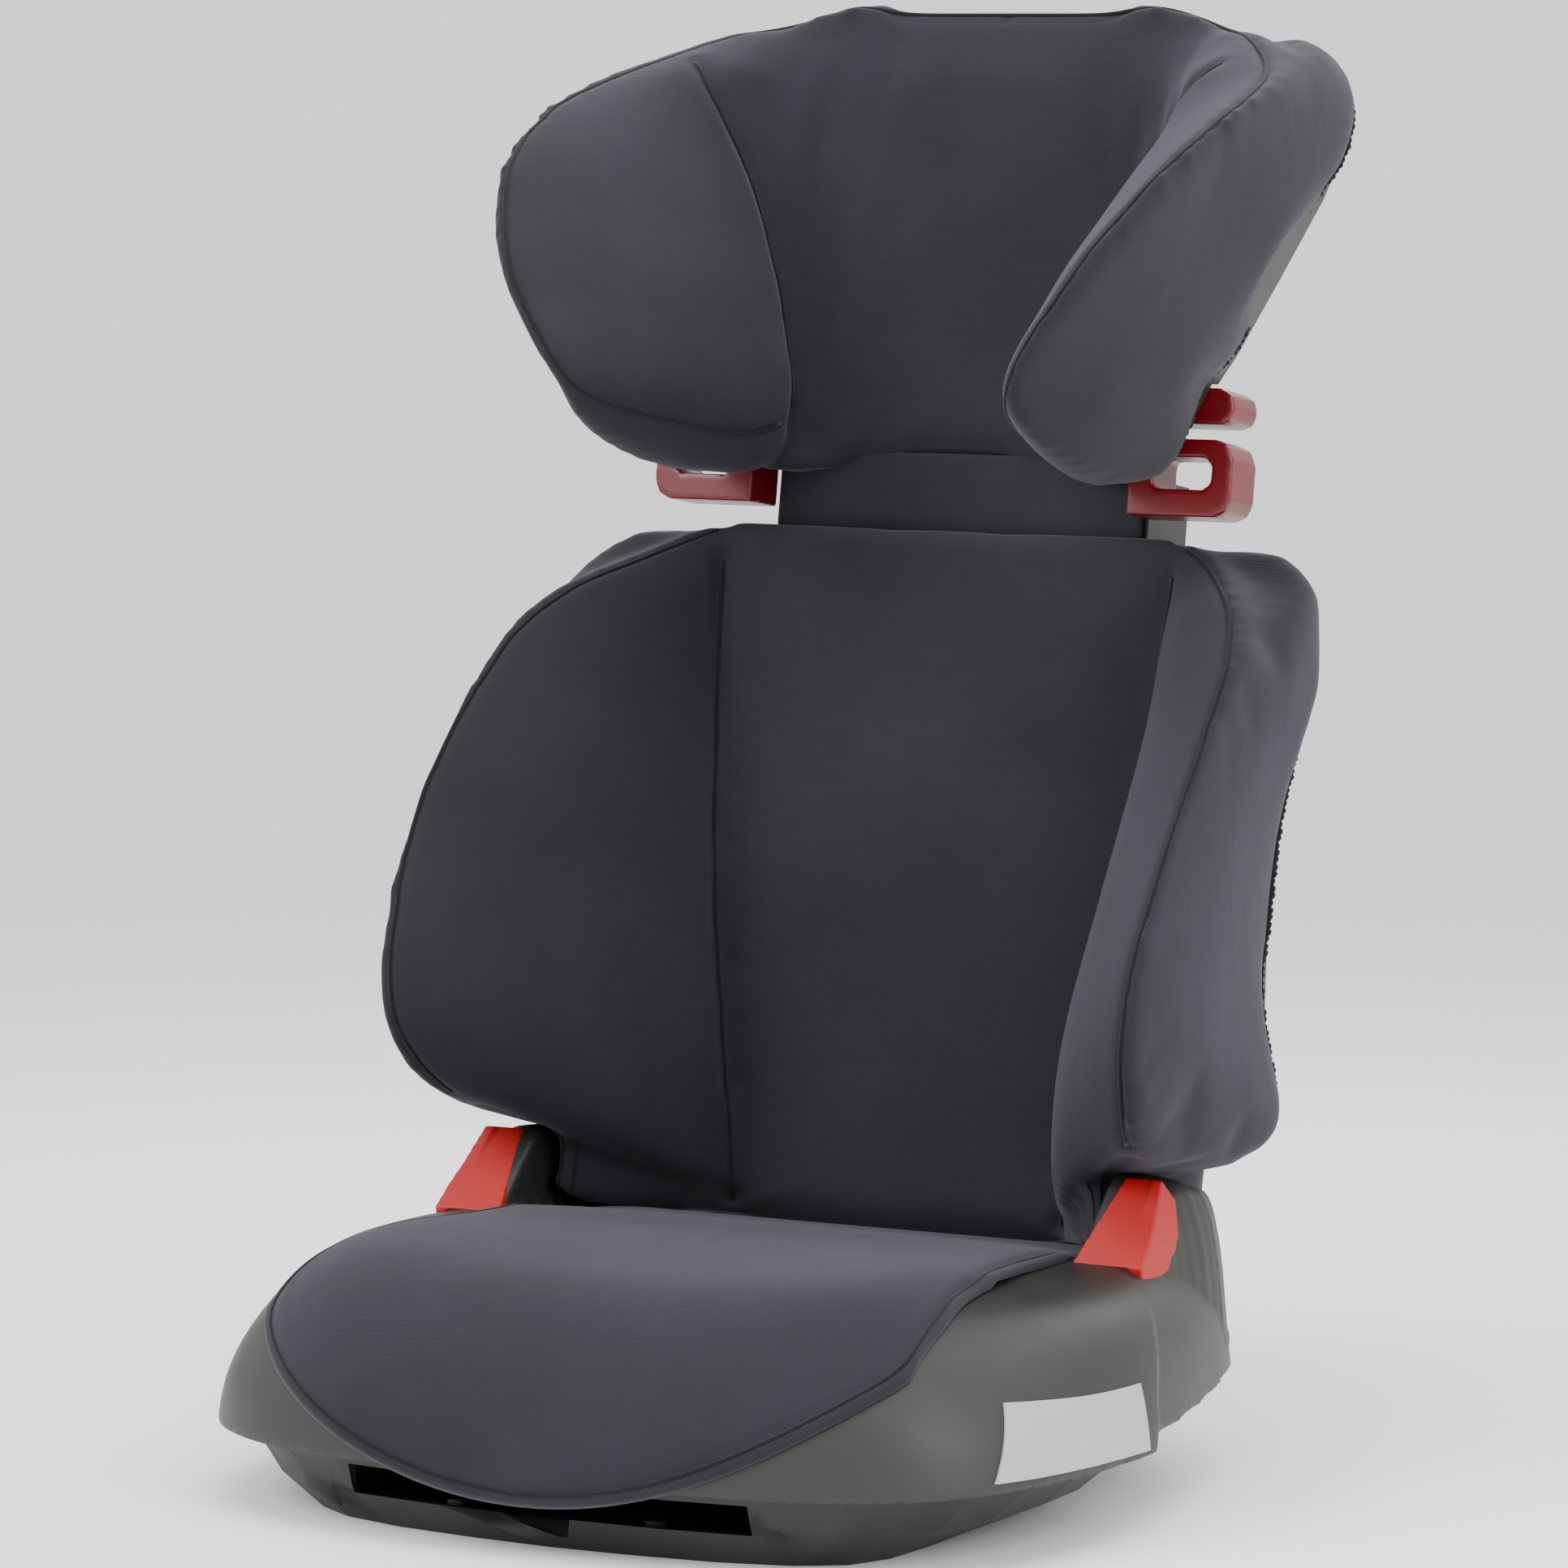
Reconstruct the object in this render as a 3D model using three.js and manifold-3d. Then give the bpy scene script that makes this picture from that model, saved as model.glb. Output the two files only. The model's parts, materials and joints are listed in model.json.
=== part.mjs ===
// High-back booster seat for a car.
// Millimetres, +Z up, the seat faces -Y and +X is the sitter's left.
// The origin is in the middle of the flat underside of the base tray.
import * as THREE from 'three';
import { ParametricGeometry } from 'three/addons/geometries/ParametricGeometry.js';
import { mergeVertices } from 'three/addons/utils/BufferGeometryUtils.js';
import Module from 'manifold-3d';

const wasm = await Module();
wasm.setup();

// ---------------------------------------------------------------- driving dimensions
const GAP = 0.4;                 // space left between neighbouring pieces
const SHELL_WALL = 3;            // moulded plastic walls
const COVER_SKIN = 2.4;          // sewn cover, thickness of the laminate
const BACK_LEAN = 9.5;           // degrees, backrest behind the vertical
const BACK_ORIGIN_Y = 185;       // where the backrest's own frame stands
const BACK_ORIGIN_Z = 50;
const AXLE_Y = 169;              // backrest hinge axle
const AXLE_Z = 40;
const AXLE_RADIUS = 4;
const RECESS_HALF_WIDTH = 146.5; // pocket in the base that holds the foot of the backrest
const RECESS_FRONT_Y = 158.5;
const STEP_DEPTH = 3;            // rear of the base side stands this far inside the front
const TRAY_TOP = 32.6;
const PAN_FLOOR = 78;            // floor of the pocket for the seat foam
const MAST_HALF_WIDTH = 97.8;    // headrest mast, a channel open to the rear
const MAST_FRONT = -13.8;
const MAST_REAR = 29;
const CHANNEL_HALF_WIDTH = 98.6; // room in the backrest that the mast slides in
const CHANNEL_FRONT = -15.8;
const CHANNEL_REAR = 33.6;
const RACK_PITCH = 15;
const RACK_STEPS = 11;
const RACK_START = 190;          // height of the lowest notch up the back
const FOOT_RADIUS = 9;
const SCREW_RADIUS = 1.7;

// ---------------------------------------------------------------- materials
const finish = (color, roughness) => new THREE.MeshStandardMaterial({ color, roughness, metalness: 0 });
const fabric = finish(0x3f3e47, 0.95);
const foam = finish(0xc9c8c2, 0.9);
const shellPlastic = finish(0x4b4c4a, 0.55);
const trayPlastic = finish(0x444443, 0.6);
const blackPlastic = finish(0x1d1d1e, 0.5);
const lapRed = finish(0xc8170f, 0.4);
const shoulderRed = finish(0x8e0c1e, 0.35);
const plateGrey = finish(0xb8b8b8, 0.5);
const rubber = finish(0x161616, 0.8);
const steel = new THREE.MeshStandardMaterial({ color: 0x9a9ca0, roughness: 0.35, metalness: 1 });

// ---------------------------------------------------------------- solids

function signedVolume(positions, triangles) {
  const corner = [new THREE.Vector3(), new THREE.Vector3(), new THREE.Vector3()];
  let volume = 0;
  for (let t = 0; t < triangles.length; t += 3) {
    corner.forEach((point, k) => point.fromArray(positions, triangles[t + k] * 3));
    volume += corner[0].dot(corner[1].clone().cross(corner[2])) / 6;
  }
  return volume;
}

function solid(source) {
  const bare = source.clone();
  bare.deleteAttribute('normal');
  bare.deleteAttribute('uv');
  const merged = mergeVertices(bare, 1e-3);
  const positions = merged.attributes.position.array;
  const index = merged.index.array;
  const triangles = [];
  for (let t = 0; t < index.length; t += 3) {
    const [a, b, c] = [index[t], index[t + 1], index[t + 2]];
    if (a !== b && b !== c && c !== a) triangles.push(a, b, c);
  }
  if (signedVolume(positions, triangles) < 0) triangles.reverse();
  return new wasm.Manifold(new wasm.Mesh({
    numProp: 3,
    vertProperties: new Float32Array(positions),
    triVerts: new Uint32Array(triangles),
  }));
}

function surface(body) {
  const { vertProperties, triVerts } = body.getMesh();
  const geometry = new THREE.BufferGeometry();
  geometry.setAttribute('position', new THREE.BufferAttribute(new Float32Array(vertProperties), 3));
  geometry.setIndex(new THREE.BufferAttribute(new Uint32Array(triVerts), 1));
  geometry.computeVertexNormals();
  return geometry;
}

const joined = (first, ...others) => others.reduce((sum, next) => sum.add(next), first);
const cut = (body, ...tools) => tools.reduce((rest, tool) => rest.subtract(tool), body);

function box([x0, x1], [y0, y1], [z0, z1]) {
  const geometry = new THREE.BoxGeometry(x1 - x0, y1 - y0, z1 - z0);
  geometry.translate((x0 + x1) / 2, (y0 + y1) / 2, (z0 + z1) / 2);
  return solid(geometry);
}

function rod(radius, from, to, sides = 14) {
  const start = new THREE.Vector3(...from);
  const line = new THREE.Vector3(...to).sub(start);
  const geometry = new THREE.CylinderGeometry(radius, radius, line.length(), sides);
  geometry.applyQuaternion(new THREE.Quaternion().setFromUnitVectors(
    new THREE.Vector3(0, 1, 0), line.clone().normalize()));
  geometry.translate(...start.addScaledVector(line, 0.5).toArray());
  return solid(geometry);
}

function shapeOf(points) {
  return new THREE.Shape(points.map(([a, b]) => new THREE.Vector2(a, b)));
}

// The three ways to extrude an outline: seen from the side, the front or above.
function extruded(shape, depth, basis, start) {
  const geometry = new THREE.ExtrudeGeometry(shape, { depth, bevelEnabled: false, curveSegments: 8 });
  geometry.applyMatrix4(new THREE.Matrix4().makeBasis(...basis).setPosition(start));
  return solid(geometry);
}
const axis = (x, y, z) => new THREE.Vector3(x, y, z);
const sideView = (shape, x0, x1) =>
  extruded(shape, x1 - x0, [axis(0, 1, 0), axis(0, 0, 1), axis(1, 0, 0)], axis(x0, 0, 0));
const frontView = (shape, y0, y1) =>
  extruded(shape, y1 - y0, [axis(1, 0, 0), axis(0, 0, 1), axis(0, -1, 0)], axis(0, y1, 0));
const planView = (shape, z0, z1) =>
  extruded(shape, z1 - z0, [axis(1, 0, 0), axis(0, 1, 0), axis(0, 0, 1)], axis(0, 0, z0));

// A closed body through rings of equal point count, each end closed by a fan.
function loft(rings) {
  const slices = rings[0].length;
  const middles = [rings[0], rings[rings.length - 1]].map((ring) =>
    ring.reduce((sum, point) => sum.add(point), new THREE.Vector3()).divideScalar(slices));
  const stacks = rings.length + 1;
  const surfacePoint = (u, v, target) => {
    const row = Math.round(v * stacks);
    if (row === 0) return target.copy(middles[0]);
    if (row === stacks) return target.copy(middles[1]);
    return target.copy(rings[row - 1][Math.round(u * slices) % slices]);
  };
  return solid(new ParametricGeometry(surfacePoint, slices, stacks));
}

function smoothClosed(keyPoints, count) {
  const curve = new THREE.CatmullRomCurve3(
    keyPoints.map(([a, b]) => new THREE.Vector3(a, b, 0)), true, 'centripetal');
  return curve.getPoints(count).slice(0, count);
}

// Moves a closed, anticlockwise ring of points inwards.
function insetRing(points, distance) {
  return points.map((point, k) => {
    const before = points[(k + points.length - 1) % points.length];
    const after = points[(k + 1) % points.length];
    const along = after.clone().sub(before).normalize();
    return new THREE.Vector3(point.x - along.y * distance, point.y + along.x * distance, point.z);
  });
}

const mirrorHalf = (half) => [
  ...half,
  ...half.filter(([x]) => x > 0).reverse().map(([x, y]) => [-x, y]),
];
const smoothStep = (value, low, high) => THREE.MathUtils.smoothstep(value, low, high);
const mix = (a, b, t) => a + (b - a) * t;

// ---------------------------------------------------------------- base shell
// Right half of the plan outline at the widest level, from front centre to rear centre.
const BASE_OUTLINE = mirrorHalf([
  [0, -186], [55, -184.5], [103, -180], [138, -170], [163, -156], [183, -137], [199, -107],
  [209, -70], [214, -30], [215, 10], [210, 60], [201, 105], [188, 143], [170, 170], [143, 190],
  [100, 198], [0, 200],
]);
const BASE_SLICES = 36;
// Distance inside the outline and height: a rolled front edge, and squarer sides.
const FRONT_ROLL = [[0, 36], [3.5, 53], [10, 67.5], [20, 81.5], [32, 93], [46, 102.5], [66, 109]];
const SIDE_ROLL = [[0, 36], [2.5, 60], [7, 77], [14.5, 90], [24, 98.5], [36, 103.2], [56, 104.5]];

function seatTop(x, y) {
  return mix(110, 104.5, smoothStep(y, -80, 60)) - 4 * Math.max(0, 1 - (x / 130) ** 2);
}

// The seat falls towards the foot of the backrest, between the armrests.
function seatFall(grow, half = 145.8 - grow) {
  const line = [[46, 107], [84, 95.6], [160, 88.5], [300, 88.5]].map(([y, z]) => [y, z + grow]);
  return sideView(shapeOf([[300, 300], [46, 300], ...line].reverse()), -half, half);
}

function rollProfile(roll, grow) {
  return roll.map(([inset, height], k) => {
    const before = roll[Math.max(k - 1, 0)];
    const after = roll[Math.min(k + 1, roll.length - 1)];
    const run = new THREE.Vector2(after[0] - before[0], after[1] - before[1]).normalize();
    return [inset - grow * run.y, height + grow * run.x];
  });
}

// The rounded block of the base, grown outwards by a distance and standing on a foot level.
function dome(grow, foot) {
  const outline = smoothClosed(BASE_OUTLINE, BASE_SLICES);
  const front = rollProfile(FRONT_ROLL, grow);
  const side = rollProfile(SIDE_ROLL, grow);
  const levels = front.map((unused, row) => {
    const offsets = outline.map((point) => {
      const t = smoothStep(point.y, -120, 0);
      return [mix(front[row][0], side[row][0], t), mix(front[row][1], side[row][1], t)];
    });
    return outline.map((point, k) => {
      const moved = insetRing(outline, offsets[k][0])[k];
      moved.z = offsets[k][1];
      if (moved.z > 90) moved.z = Math.min(moved.z, seatTop(moved.x, moved.y) + grow);
      return moved;
    });
  });
  const footRing = levels[0].map((point) => new THREE.Vector3(point.x, point.y, foot));
  const last = levels[levels.length - 1];
  const towardsMiddle = [0.66, 0.3].map((scale) => last.map((point) => {
    const x = point.x * scale;
    const y = mix(-5, point.y, scale);
    return new THREE.Vector3(x, y, seatTop(x, y) + grow);
  }));
  return cut(loft([footRing, ...levels, ...towardsMiddle]), seatFall(grow));
}

// Everything behind the step in the base's side, which leans back as it rises.
function behindStep(shift) {
  const line = [[2, 0], [2, 40], [6, 60], [17, 80], [34, 96], [52, 112], [70, 200], [260, 200], [260, 0]];
  return sideView(shapeOf(line.map(([y, z]) => [y + shift, z])), -260, 260);
}

function steppedDome(grow, foot, shift) {
  const front = cut(dome(grow, foot), behindStep(shift));
  return joined(front, dome(grow - STEP_DEPTH, foot).intersect(behindStep(shift - 0.5)));
}

const HUMP_SIDE = [
  [40, 40], [44, 92], [54, 103], [88, 136], [95, 138], [105, 136.5], [122, 128], [150, 123],
  [166, 112], [176, 92], [180, 66], [180, 40],
];
const HUMP_FRONT = [
  [148, 40], [208, 40], [204, 70], [200, 96], [194, 114], [186, 127], [176, 136], [165, 140.5], [148, 142],
];

// Rear armrest hump, cut from its side view, front view and plan.
function hump(side, inset) {
  const shrink = (points) => insetRing(points.map(([a, b]) => new THREE.Vector3(a, b, 0)), inset)
    .map((point) => [point.x, point.y]);
  const sideShape = shapeOf(shrink([...HUMP_SIDE].reverse()));
  const frontShape = shapeOf(shrink(HUMP_FRONT).map(([x, z]) => [x * side, z]));
  const plan = insetRing(smoothClosed(BASE_OUTLINE, BASE_SLICES), STEP_DEPTH + 2 + inset);
  const planShape = shapeOf(plan.map((point) => [point.x, point.y]));
  const outerEdge = shapeOf([
    [140, 20], [178, 20], [177, 88], [187, 112], [220, 128], [220, 200], [140, 200],
  ].map(([x, y]) => [(x - (x > 140 ? inset : 0)) * side, y]));
  return sideView(sideShape, -230, 230)
    .intersect(frontView(frontShape, 0, 230))
    .intersect(planView(planShape, 20, 200))
    .intersect(planView(outerEdge, 20, 200));
}

const SEAT_PAN = [
  [125, -88], [130, -40], [132, 20], [131, 80], [128, 148], [-128, 148], [-131, 80], [-132, 20],
  [-130, -40], [-125, -88], [-95, -118], [-40, -132], [40, -132], [95, -118],
];

const seatPan = (grow) => planView(
  shapeOf(insetRing(SEAT_PAN.map(([x, y]) => new THREE.Vector3(x, y, 0)), -grow).map((p) => [p.x, p.y])),
  PAN_FLOOR - grow, 200);

const backRecess = (grow) => box(
  [-RECESS_HALF_WIDTH - grow, RECESS_HALF_WIDTH + grow], [RECESS_FRONT_Y - grow, 260], [-20, 260]);

// Red lap belt guide: a slab on the slope of the hump with a flange down its outer side.
const LAP_SLOPE = [[50, 104.2], [88, 138.2], [92.5, 133.6], [54.6, 99.6]];
function lapGuideBody(side, grow) {
  const front = [[147.6, 92], [178.5, 92], [176.8, 104.5], [171.3, 140], [157, 140], [148, 104.5]];
  const moved = (points, distance) => insetRing(
    points.map(([a, b]) => new THREE.Vector3(a, b, 0)), -distance).map((p) => [p.x, p.y]);
  const slab = sideView(shapeOf(moved([...LAP_SLOPE].reverse(), grow)), -200, 200)
    .intersect(frontView(shapeOf(moved(front, grow).map(([x, z]) => [x * side, z])), 30, 120));
  const flangeSide = [
    [86, 138.6], [96, 128], [92, 112], [80, 99], [62, 91], [52, 95], [50, 104.2], [70, 122]];
  const flangeFront = [[170, 139], [175.6, 104.5], [177, 96], [179, 88], [183, 93], [181.5, 112], [175, 140]];
  const flange = sideView(shapeOf(moved([...flangeSide].reverse(), grow)), -200, 200)
    .intersect(frontView(shapeOf(moved(flangeFront, grow).map(([x, z]) => [x * side, z])), 30, 120));
  return joined(slab, flange);
}

// The lower edge of the shell rises behind the step.
const raisedEdge = (side) => sideView(
  shapeOf([[1, 0], [172, 0], [172, 48], [122, 47], [84, 45], [24, 41], [1, 39.5]]),
  side > 0 ? 158 : -260, side > 0 ? 260 : -158);

function baseShell() {
  const bodies = [0, SHELL_WALL].map((wall) => joined(
    steppedDome(-wall, wall ? 10 : TRAY_TOP + GAP, wall ? -SHELL_WALL : 0),
    hump(1, wall), hump(-1, wall)));
  const outer = cut(bodies[0], backRecess(0), seatPan(0));
  const inner = cut(bodies[1], backRecess(SHELL_WALL), seatPan(SHELL_WALL));
  const holes = [-1, 1].map((side) => rod(AXLE_RADIUS + 0.3,
    [side * 140, AXLE_Y, AXLE_Z], [side * 158, AXLE_Y, AXLE_Z]));
  const guideSeats = [-1, 1].map((side) => lapGuideBody(side, GAP));
  const bosses = TRAY_SCREWS.map(shellBoss);
  const raised = [-1, 1].map((side) => raisedEdge(side));
  return joined(cut(outer, inner, ...holes, ...guideSeats, ...raised), ...bosses);
}

// ---------------------------------------------------------------- base tray
const TRAY_RIM = mirrorHalf([
  [0, -172], [60, -171], [103, -166], [134, -156], [157, -143], [176, -123], [190, -96], [199, -60],
  [203, -25], [196, 8], [182, 40], [165, 75], [148, 106], [133, 136], [118, 165],
  [103, 184], [60, 190], [0, 191],
]);
const TRAY_FLOOR = mirrorHalf([
  [0, -160], [42, -158], [84, -153], [116, -143], [135, -128], [142, -105], [144, -70], [145, -30],
  [145, 15], [140, 55], [131, 95], [120, 128], [109, 155], [96, 174], [55, 181], [0, 182],
]);

const TRAY_SLICES = 32;

function trayBody(wall) {
  const floor = insetRing(smoothClosed(TRAY_FLOOR, TRAY_SLICES), wall);
  const rim = insetRing(smoothClosed(TRAY_RIM, TRAY_SLICES), wall);
  const level = (ring, z) => ring.map((point) => new THREE.Vector3(point.x, point.y, z));
  const middle = floor.map((point, k) => new THREE.Vector3(
    mix(point.x, rim[k].x, 0.62), mix(point.y, rim[k].y, 0.62), 15 + wall * 0.6));
  return loft([level(floor, wall), middle, level(rim, wall ? 60 : TRAY_TOP)]);
}

function baseTray() {
  const hollow = cut(trayBody(0), trayBody(SHELL_WALL));
  const inside = trayBody(SHELL_WALL - 0.5);
  const ribs = [-1, 1].flatMap((side) => [
    box([side * 101 - 1.5, side * 101 + 1.5], [-170, -84], [2, 28]),
    box([side * 60 - 1.2, side * 60 + 1.2], [-112, -84], [2, 28]),
    box([side * 21 - 1.2, side * 21 + 1.2], [-112, -84], [2, 28]),
  ]);
  ribs.push(box([-102.4, 102.4], [-86.5, -84], [2, 28]));
  ribs.push(box([-102.4, 102.4], [-170, -84.5], [2, 12.5]));
  const inner = joined(...ribs).intersect(inside);
  const slot = box([-99, 99], [-190, -150], [14.5, 28.2]);
  const notch = frontView(shapeOf([[-14, 10.8], [6, 5.6], [10, 5.6], [14, 16], [-24, 16]]), -190, -160);
  const pegs = [-46, 52].map((x) => box([x - 3.5, x + 3.5], [-163, -158], [13, 16.6]));
  const clipPads = [-1, 1].map((side) => frontView(
    shapeOf([[112, 5.5], [135, 8], [136, 28], [112, 27]].map(([x, z]) => [x * side, z])), -200, -100)
    .intersect(cut(trayBody(-0.9), trayBody(SHELL_WALL - 0.6))));
  const hingeRoom = [-1, 1].map((side) => box(
    side > 0 ? [94, 136] : [-136, -94], [148, 185], [26, 60]));
  const body = cut(joined(hollow, inner), slot, notch, ...hingeRoom,
    ...TRAY_SCREWS.map(([x, y]) => rod(5, [x, y, -5], [x, y, 10])),
    ...FEET.map(([x, y]) => rod(FOOT_RADIUS + 0.4, [x, y, -5], [x, y, 10])));
  return joined(body, ...pegs, ...clipPads, ...TRAY_SCREWS.map(traySocket));
}

// ---------------------------------------------------------------- seat cushion
function seatHemRegion() {
  const sag = 58;
  const lowest = 22.5;
  const halfWidth = 160;
  const hem = [];
  for (let step = -10; step <= 10; step += 1) {
    const t = step / 10;
    hem.push([t * halfWidth, lowest + sag * t * t]);
  }
  const front = frontView(shapeOf([...hem, [halfWidth, 160], [-halfWidth, 160]]), -230, 158);
  const plan = planView(shapeOf([
    [-160, -230], [160, -230], [160, -100], [154, -49], [146.2, 5], [145, 40], [145, 158],
    [-145, 158], [-145, 40], [-146.2, 5], [-154, -49], [-160, -100],
  ]), 0, 200);
  return front.intersect(plan);
}

const seatCover = () => cut(dome(COVER_SKIN + GAP, 16), dome(GAP, 8), seatFall(COVER_SKIN + GAP, 150))
  .intersect(seatHemRegion());
const seatFoam = () => dome(0, 40).intersect(seatPan(-GAP));

// ---------------------------------------------------------------- small parts of the base
// Four places where the tray is screwed to the shell.
const TRAY_SCREWS = [[-92, -62], [92, -62], [-92, 96], [92, 96]];
const FEET = [[-118, -106], [118, -106], [-94, 140], [94, 140]];

function turned(profile, sides, at) {
  const geometry = new THREE.LatheGeometry(profile.map(([r, z]) => new THREE.Vector2(r, z)), sides);
  geometry.rotateX(Math.PI / 2);
  geometry.translate(...at);
  return solid(geometry);
}

const traySocket = ([x, y]) => cut(
  rod(7, [x, y, 1], [x, y, 20]),
  rod(4.6, [x, y, -5], [x, y, 16.8]),
  rod(SCREW_RADIUS + 0.4, [x, y, 10], [x, y, 30], 8));
const shellBoss = ([x, y]) => cut(
  rod(5, [x, y, 20 + GAP], [x, y, PAN_FLOOR - 1], 12),
  rod(SCREW_RADIUS + 0.2, [x, y, 15], [x, y, 36], 8));
const trayScrew = ([x, y]) => joined(
  rod(4, [x, y, 14.2], [x, y, 16.5], 10), rod(SCREW_RADIUS, [x, y, 16], [x, y, 33], 6));
const rubberFoot = ([x, y]) => turned(
  [[0, 0], [FOOT_RADIUS, 0], [FOOT_RADIUS, SHELL_WALL + GAP], [12, SHELL_WALL + GAP], [12, 5.4], [0, 5.4]],
  14, [x, y, 0]);

function axleClip() {
  const ring = rod(6.4, [151, AXLE_Y, AXLE_Z], [152.6, AXLE_Y, AXLE_Z]);
  return cut(ring, rod(AXLE_RADIUS + 0.3, [149, AXLE_Y, AXLE_Z], [155, AXLE_Y, AXLE_Z]));
}

function sidePlate() {
  const outline = shapeOf([[-120, 39], [-10, 38], [-10.5, 75.5], [-60, 72.5], [-119, 75]]);
  return cut(dome(1.4, 10), dome(0.3, 8)).intersect(sideView(outline, 120, 240));
}

// ---------------------------------------------------------------- backrest and headrest sections
// Stations up the back, seen from above: where a wing starts at the centre panel (root), its front
// seam (tip), its outer side, the height of its rear edge and where its rear meets the centre.
const station = (height, root, tip, outer, rear, inner) => ({ height, root, tip, outer, rear, inner });
const TORSO = [
  station(14, [84, -25], [137, -107], 142, 6, [96, 37]),
  station(79, [92, -28], [139, -109], 143.5, 6, [100, 37]),
  station(83, [93, -29], [164, -138], 184, -42, [102, 34]),
  station(97, [96, -30], [178, -168], 191, -33, [104, 34]),
  station(150, [104, -29], [187, -194], 193.5, -46, [106, 37]),
  station(205, [109, -28], [190, -178], 194, -53, [108, 37]),
  station(260, [113, -28], [190, -144], 194, -40, [110, 37]),
  station(310, [116, -28], [183, -103], 193, -18, [112, 37]),
  station(345, [118, -28], [158, -60], 187, -14, [112, 36]),
  station(362, [114, -24], [138, -32], 167, -8, [111, 33]),
];
const HEAD = [
  station(384, [93, -56], [109, -108], 118, -72, [97, -58]),
  station(392, [89, -42], [111, -160], 125, -56, [96, -46]),
  station(412, [85, -36], [111, -205], 133, -46, [96, -44]),
  station(450, [85, -38], [132, -213], 149, -32, [98, -6]),
  station(490, [94, -43], [155, -198], 164, -22, [99, 20]),
  station(530, [106, -50], [170, -163], 177, -8, [100, 23]),
  station(565, [120, -57], [172, -100], 181, 9, [101, 23]),
  station(590, [127, -48], [154, -50], 174, 15, [104, 23]),
  station(604, [120, -28], [138, -26], 162, 14, [104, 21]),
];
const WING_SLICES = 14;
const TORSO_FRONT = -27;
const TORSO_REAR = 40.2;
const TORSO_TOP = 372;
const HEAD_REAR = 28;
const HEAD_TOP = 621;
const HEAD_BOTTOM = 390;
const FOAM_INSET = COVER_SKIN + 0.55;
const WING_PAD_INSET = FOAM_INSET + SHELL_WALL + 0.8;
const PANEL_FRONT = -18.6;

function wingRing(at, inset, side) {
  const root = new THREE.Vector2(...at.root);
  const tip = new THREE.Vector2(...at.tip);
  const run = tip.clone().sub(root);
  const bulge = new THREE.Vector2(run.y, -run.x).multiplyScalar(0.1);
  const inner = [0.3, 0.68].map((t) => root.clone().addScaledVector(run, t).add(bulge));
  const keys = [
    root, ...inner, tip,
    new THREE.Vector2(Math.min(tip.x + 4, at.outer), tip.y - 3),
    new THREE.Vector2(Math.min(tip.x + 9, at.outer), tip.y + 8),
    new THREE.Vector2(at.outer, mix(tip.y, at.rear, 0.5)),
    new THREE.Vector2(at.outer, at.rear),
    new THREE.Vector2(...at.inner),
  ];
  const ring = insetRing(smoothClosed(keys.map((key) => [key.x, key.y]), WING_SLICES), inset);
  return ring.map((point) => new THREE.Vector3(point.x * side, point.y, at.height));
}

// The same stations drawn together, so that an inner body also ends inside an outer one.
function shortened(stations, inset) {
  const low = stations[0].height;
  const high = stations[stations.length - 1].height;
  const scale = (high - low - 2 * inset) / (high - low);
  return stations.map((at) => ({ ...at, height: low + inset + (at.height - low) * scale }));
}

const wing = (stations, inset, side) =>
  loft(shortened(stations, inset).map((at) => wingRing(at, inset, side)));

// The centre panel with its padding, between the roots of the wings.
function centreBlock(stations, front, rear, top, inset) {
  const below = stations.filter((at) => at.height < top - 12);
  const last = below[below.length - 1];
  const list = [...below, { ...last, height: top - 6 }, { ...last, height: top }];
  return loft(shortened(list, inset).map((at, k) => {
    const [rootX, rootN] = at.root;
    const half = rootX + 6;
    const face = front(at.height);
    const ring = mirrorHalf([
      [0, face], [rootX * 0.55, mix(face, rootN, 0.12)], [rootX - 4, rootN], [half, rootN + 6],
      [half, rear - 12], [half - 6, rear], [half * 0.45, rear], [0, rear],
    ]);
    const rounding = k === list.length - 1 ? 3 : 0;
    const outline = smoothClosed(ring, 18);
    outline.forEach((point) => { point.y = Math.min(point.y, rear); });
    return insetRing(outline, inset + rounding).map((point) =>
      new THREE.Vector3(point.x, point.y, at.height));
  }));
}

// The wings end just above the seat, along a line that drops towards the front.
function belowWings(inset) {
  const line = [[-240, 22], [-27, 42], [60, 42]].map(([n, s]) => [n, s + inset]);
  return sideView(shapeOf([[-240, -60], [60, -60], ...line.reverse()]), -230, 230);
}

// Between the hinges the back reaches down behind the seat.
const belowBack = (inset) => cut(
  belowWings(inset), box([inset - 82, 82 - inset], [-60, 60], [27 + inset, 100]));

const torsoBody = (inset) => cut(joined(
  centreBlock(TORSO, () => TORSO_FRONT, TORSO_REAR, TORSO_TOP, inset),
  wing(TORSO, inset, 1), wing(TORSO, inset, -1)), belowBack(inset));

function headBody(inset) {
  const front = (height) => mix(-15, -9, smoothStep(height, 390, 600));
  const stations = HEAD.filter((at) => at.height > 405);
  stations.unshift({ ...stations[0], height: HEAD_BOTTOM });
  return joined(centreBlock(stations, front, HEAD_REAR, HEAD_TOP, inset),
    wing(HEAD, inset, 1), wing(HEAD, inset, -1));
}

// A prism that follows the stations, from four or five corners at each of them.
function alongStations(stations, corners) {
  const first = { ...stations[0], height: stations[0].height - 30 };
  const last = { ...stations[stations.length - 1] };
  last.height += 40;
  const list = [first, ...stations, last];
  return [1, -1].map((side) => loft(list.map((at) =>
    corners(at).map(([x, n]) => new THREE.Vector3(x * side, n, at.height)))));
}

// Behind the covers, which are open to the rear.
const behindCover = (stations, rear, half) => joined(...alongStations(stations, (at) => [
  [at.outer + 9, at.rear - 6], [at.outer + 9, 90],
  [half - 6, 90], [half - 6, Math.min(rear, at.inner[1] - 7)],
]), box([-half, half], [rear, 90], [stations[0].height - 30, 700]));

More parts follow.
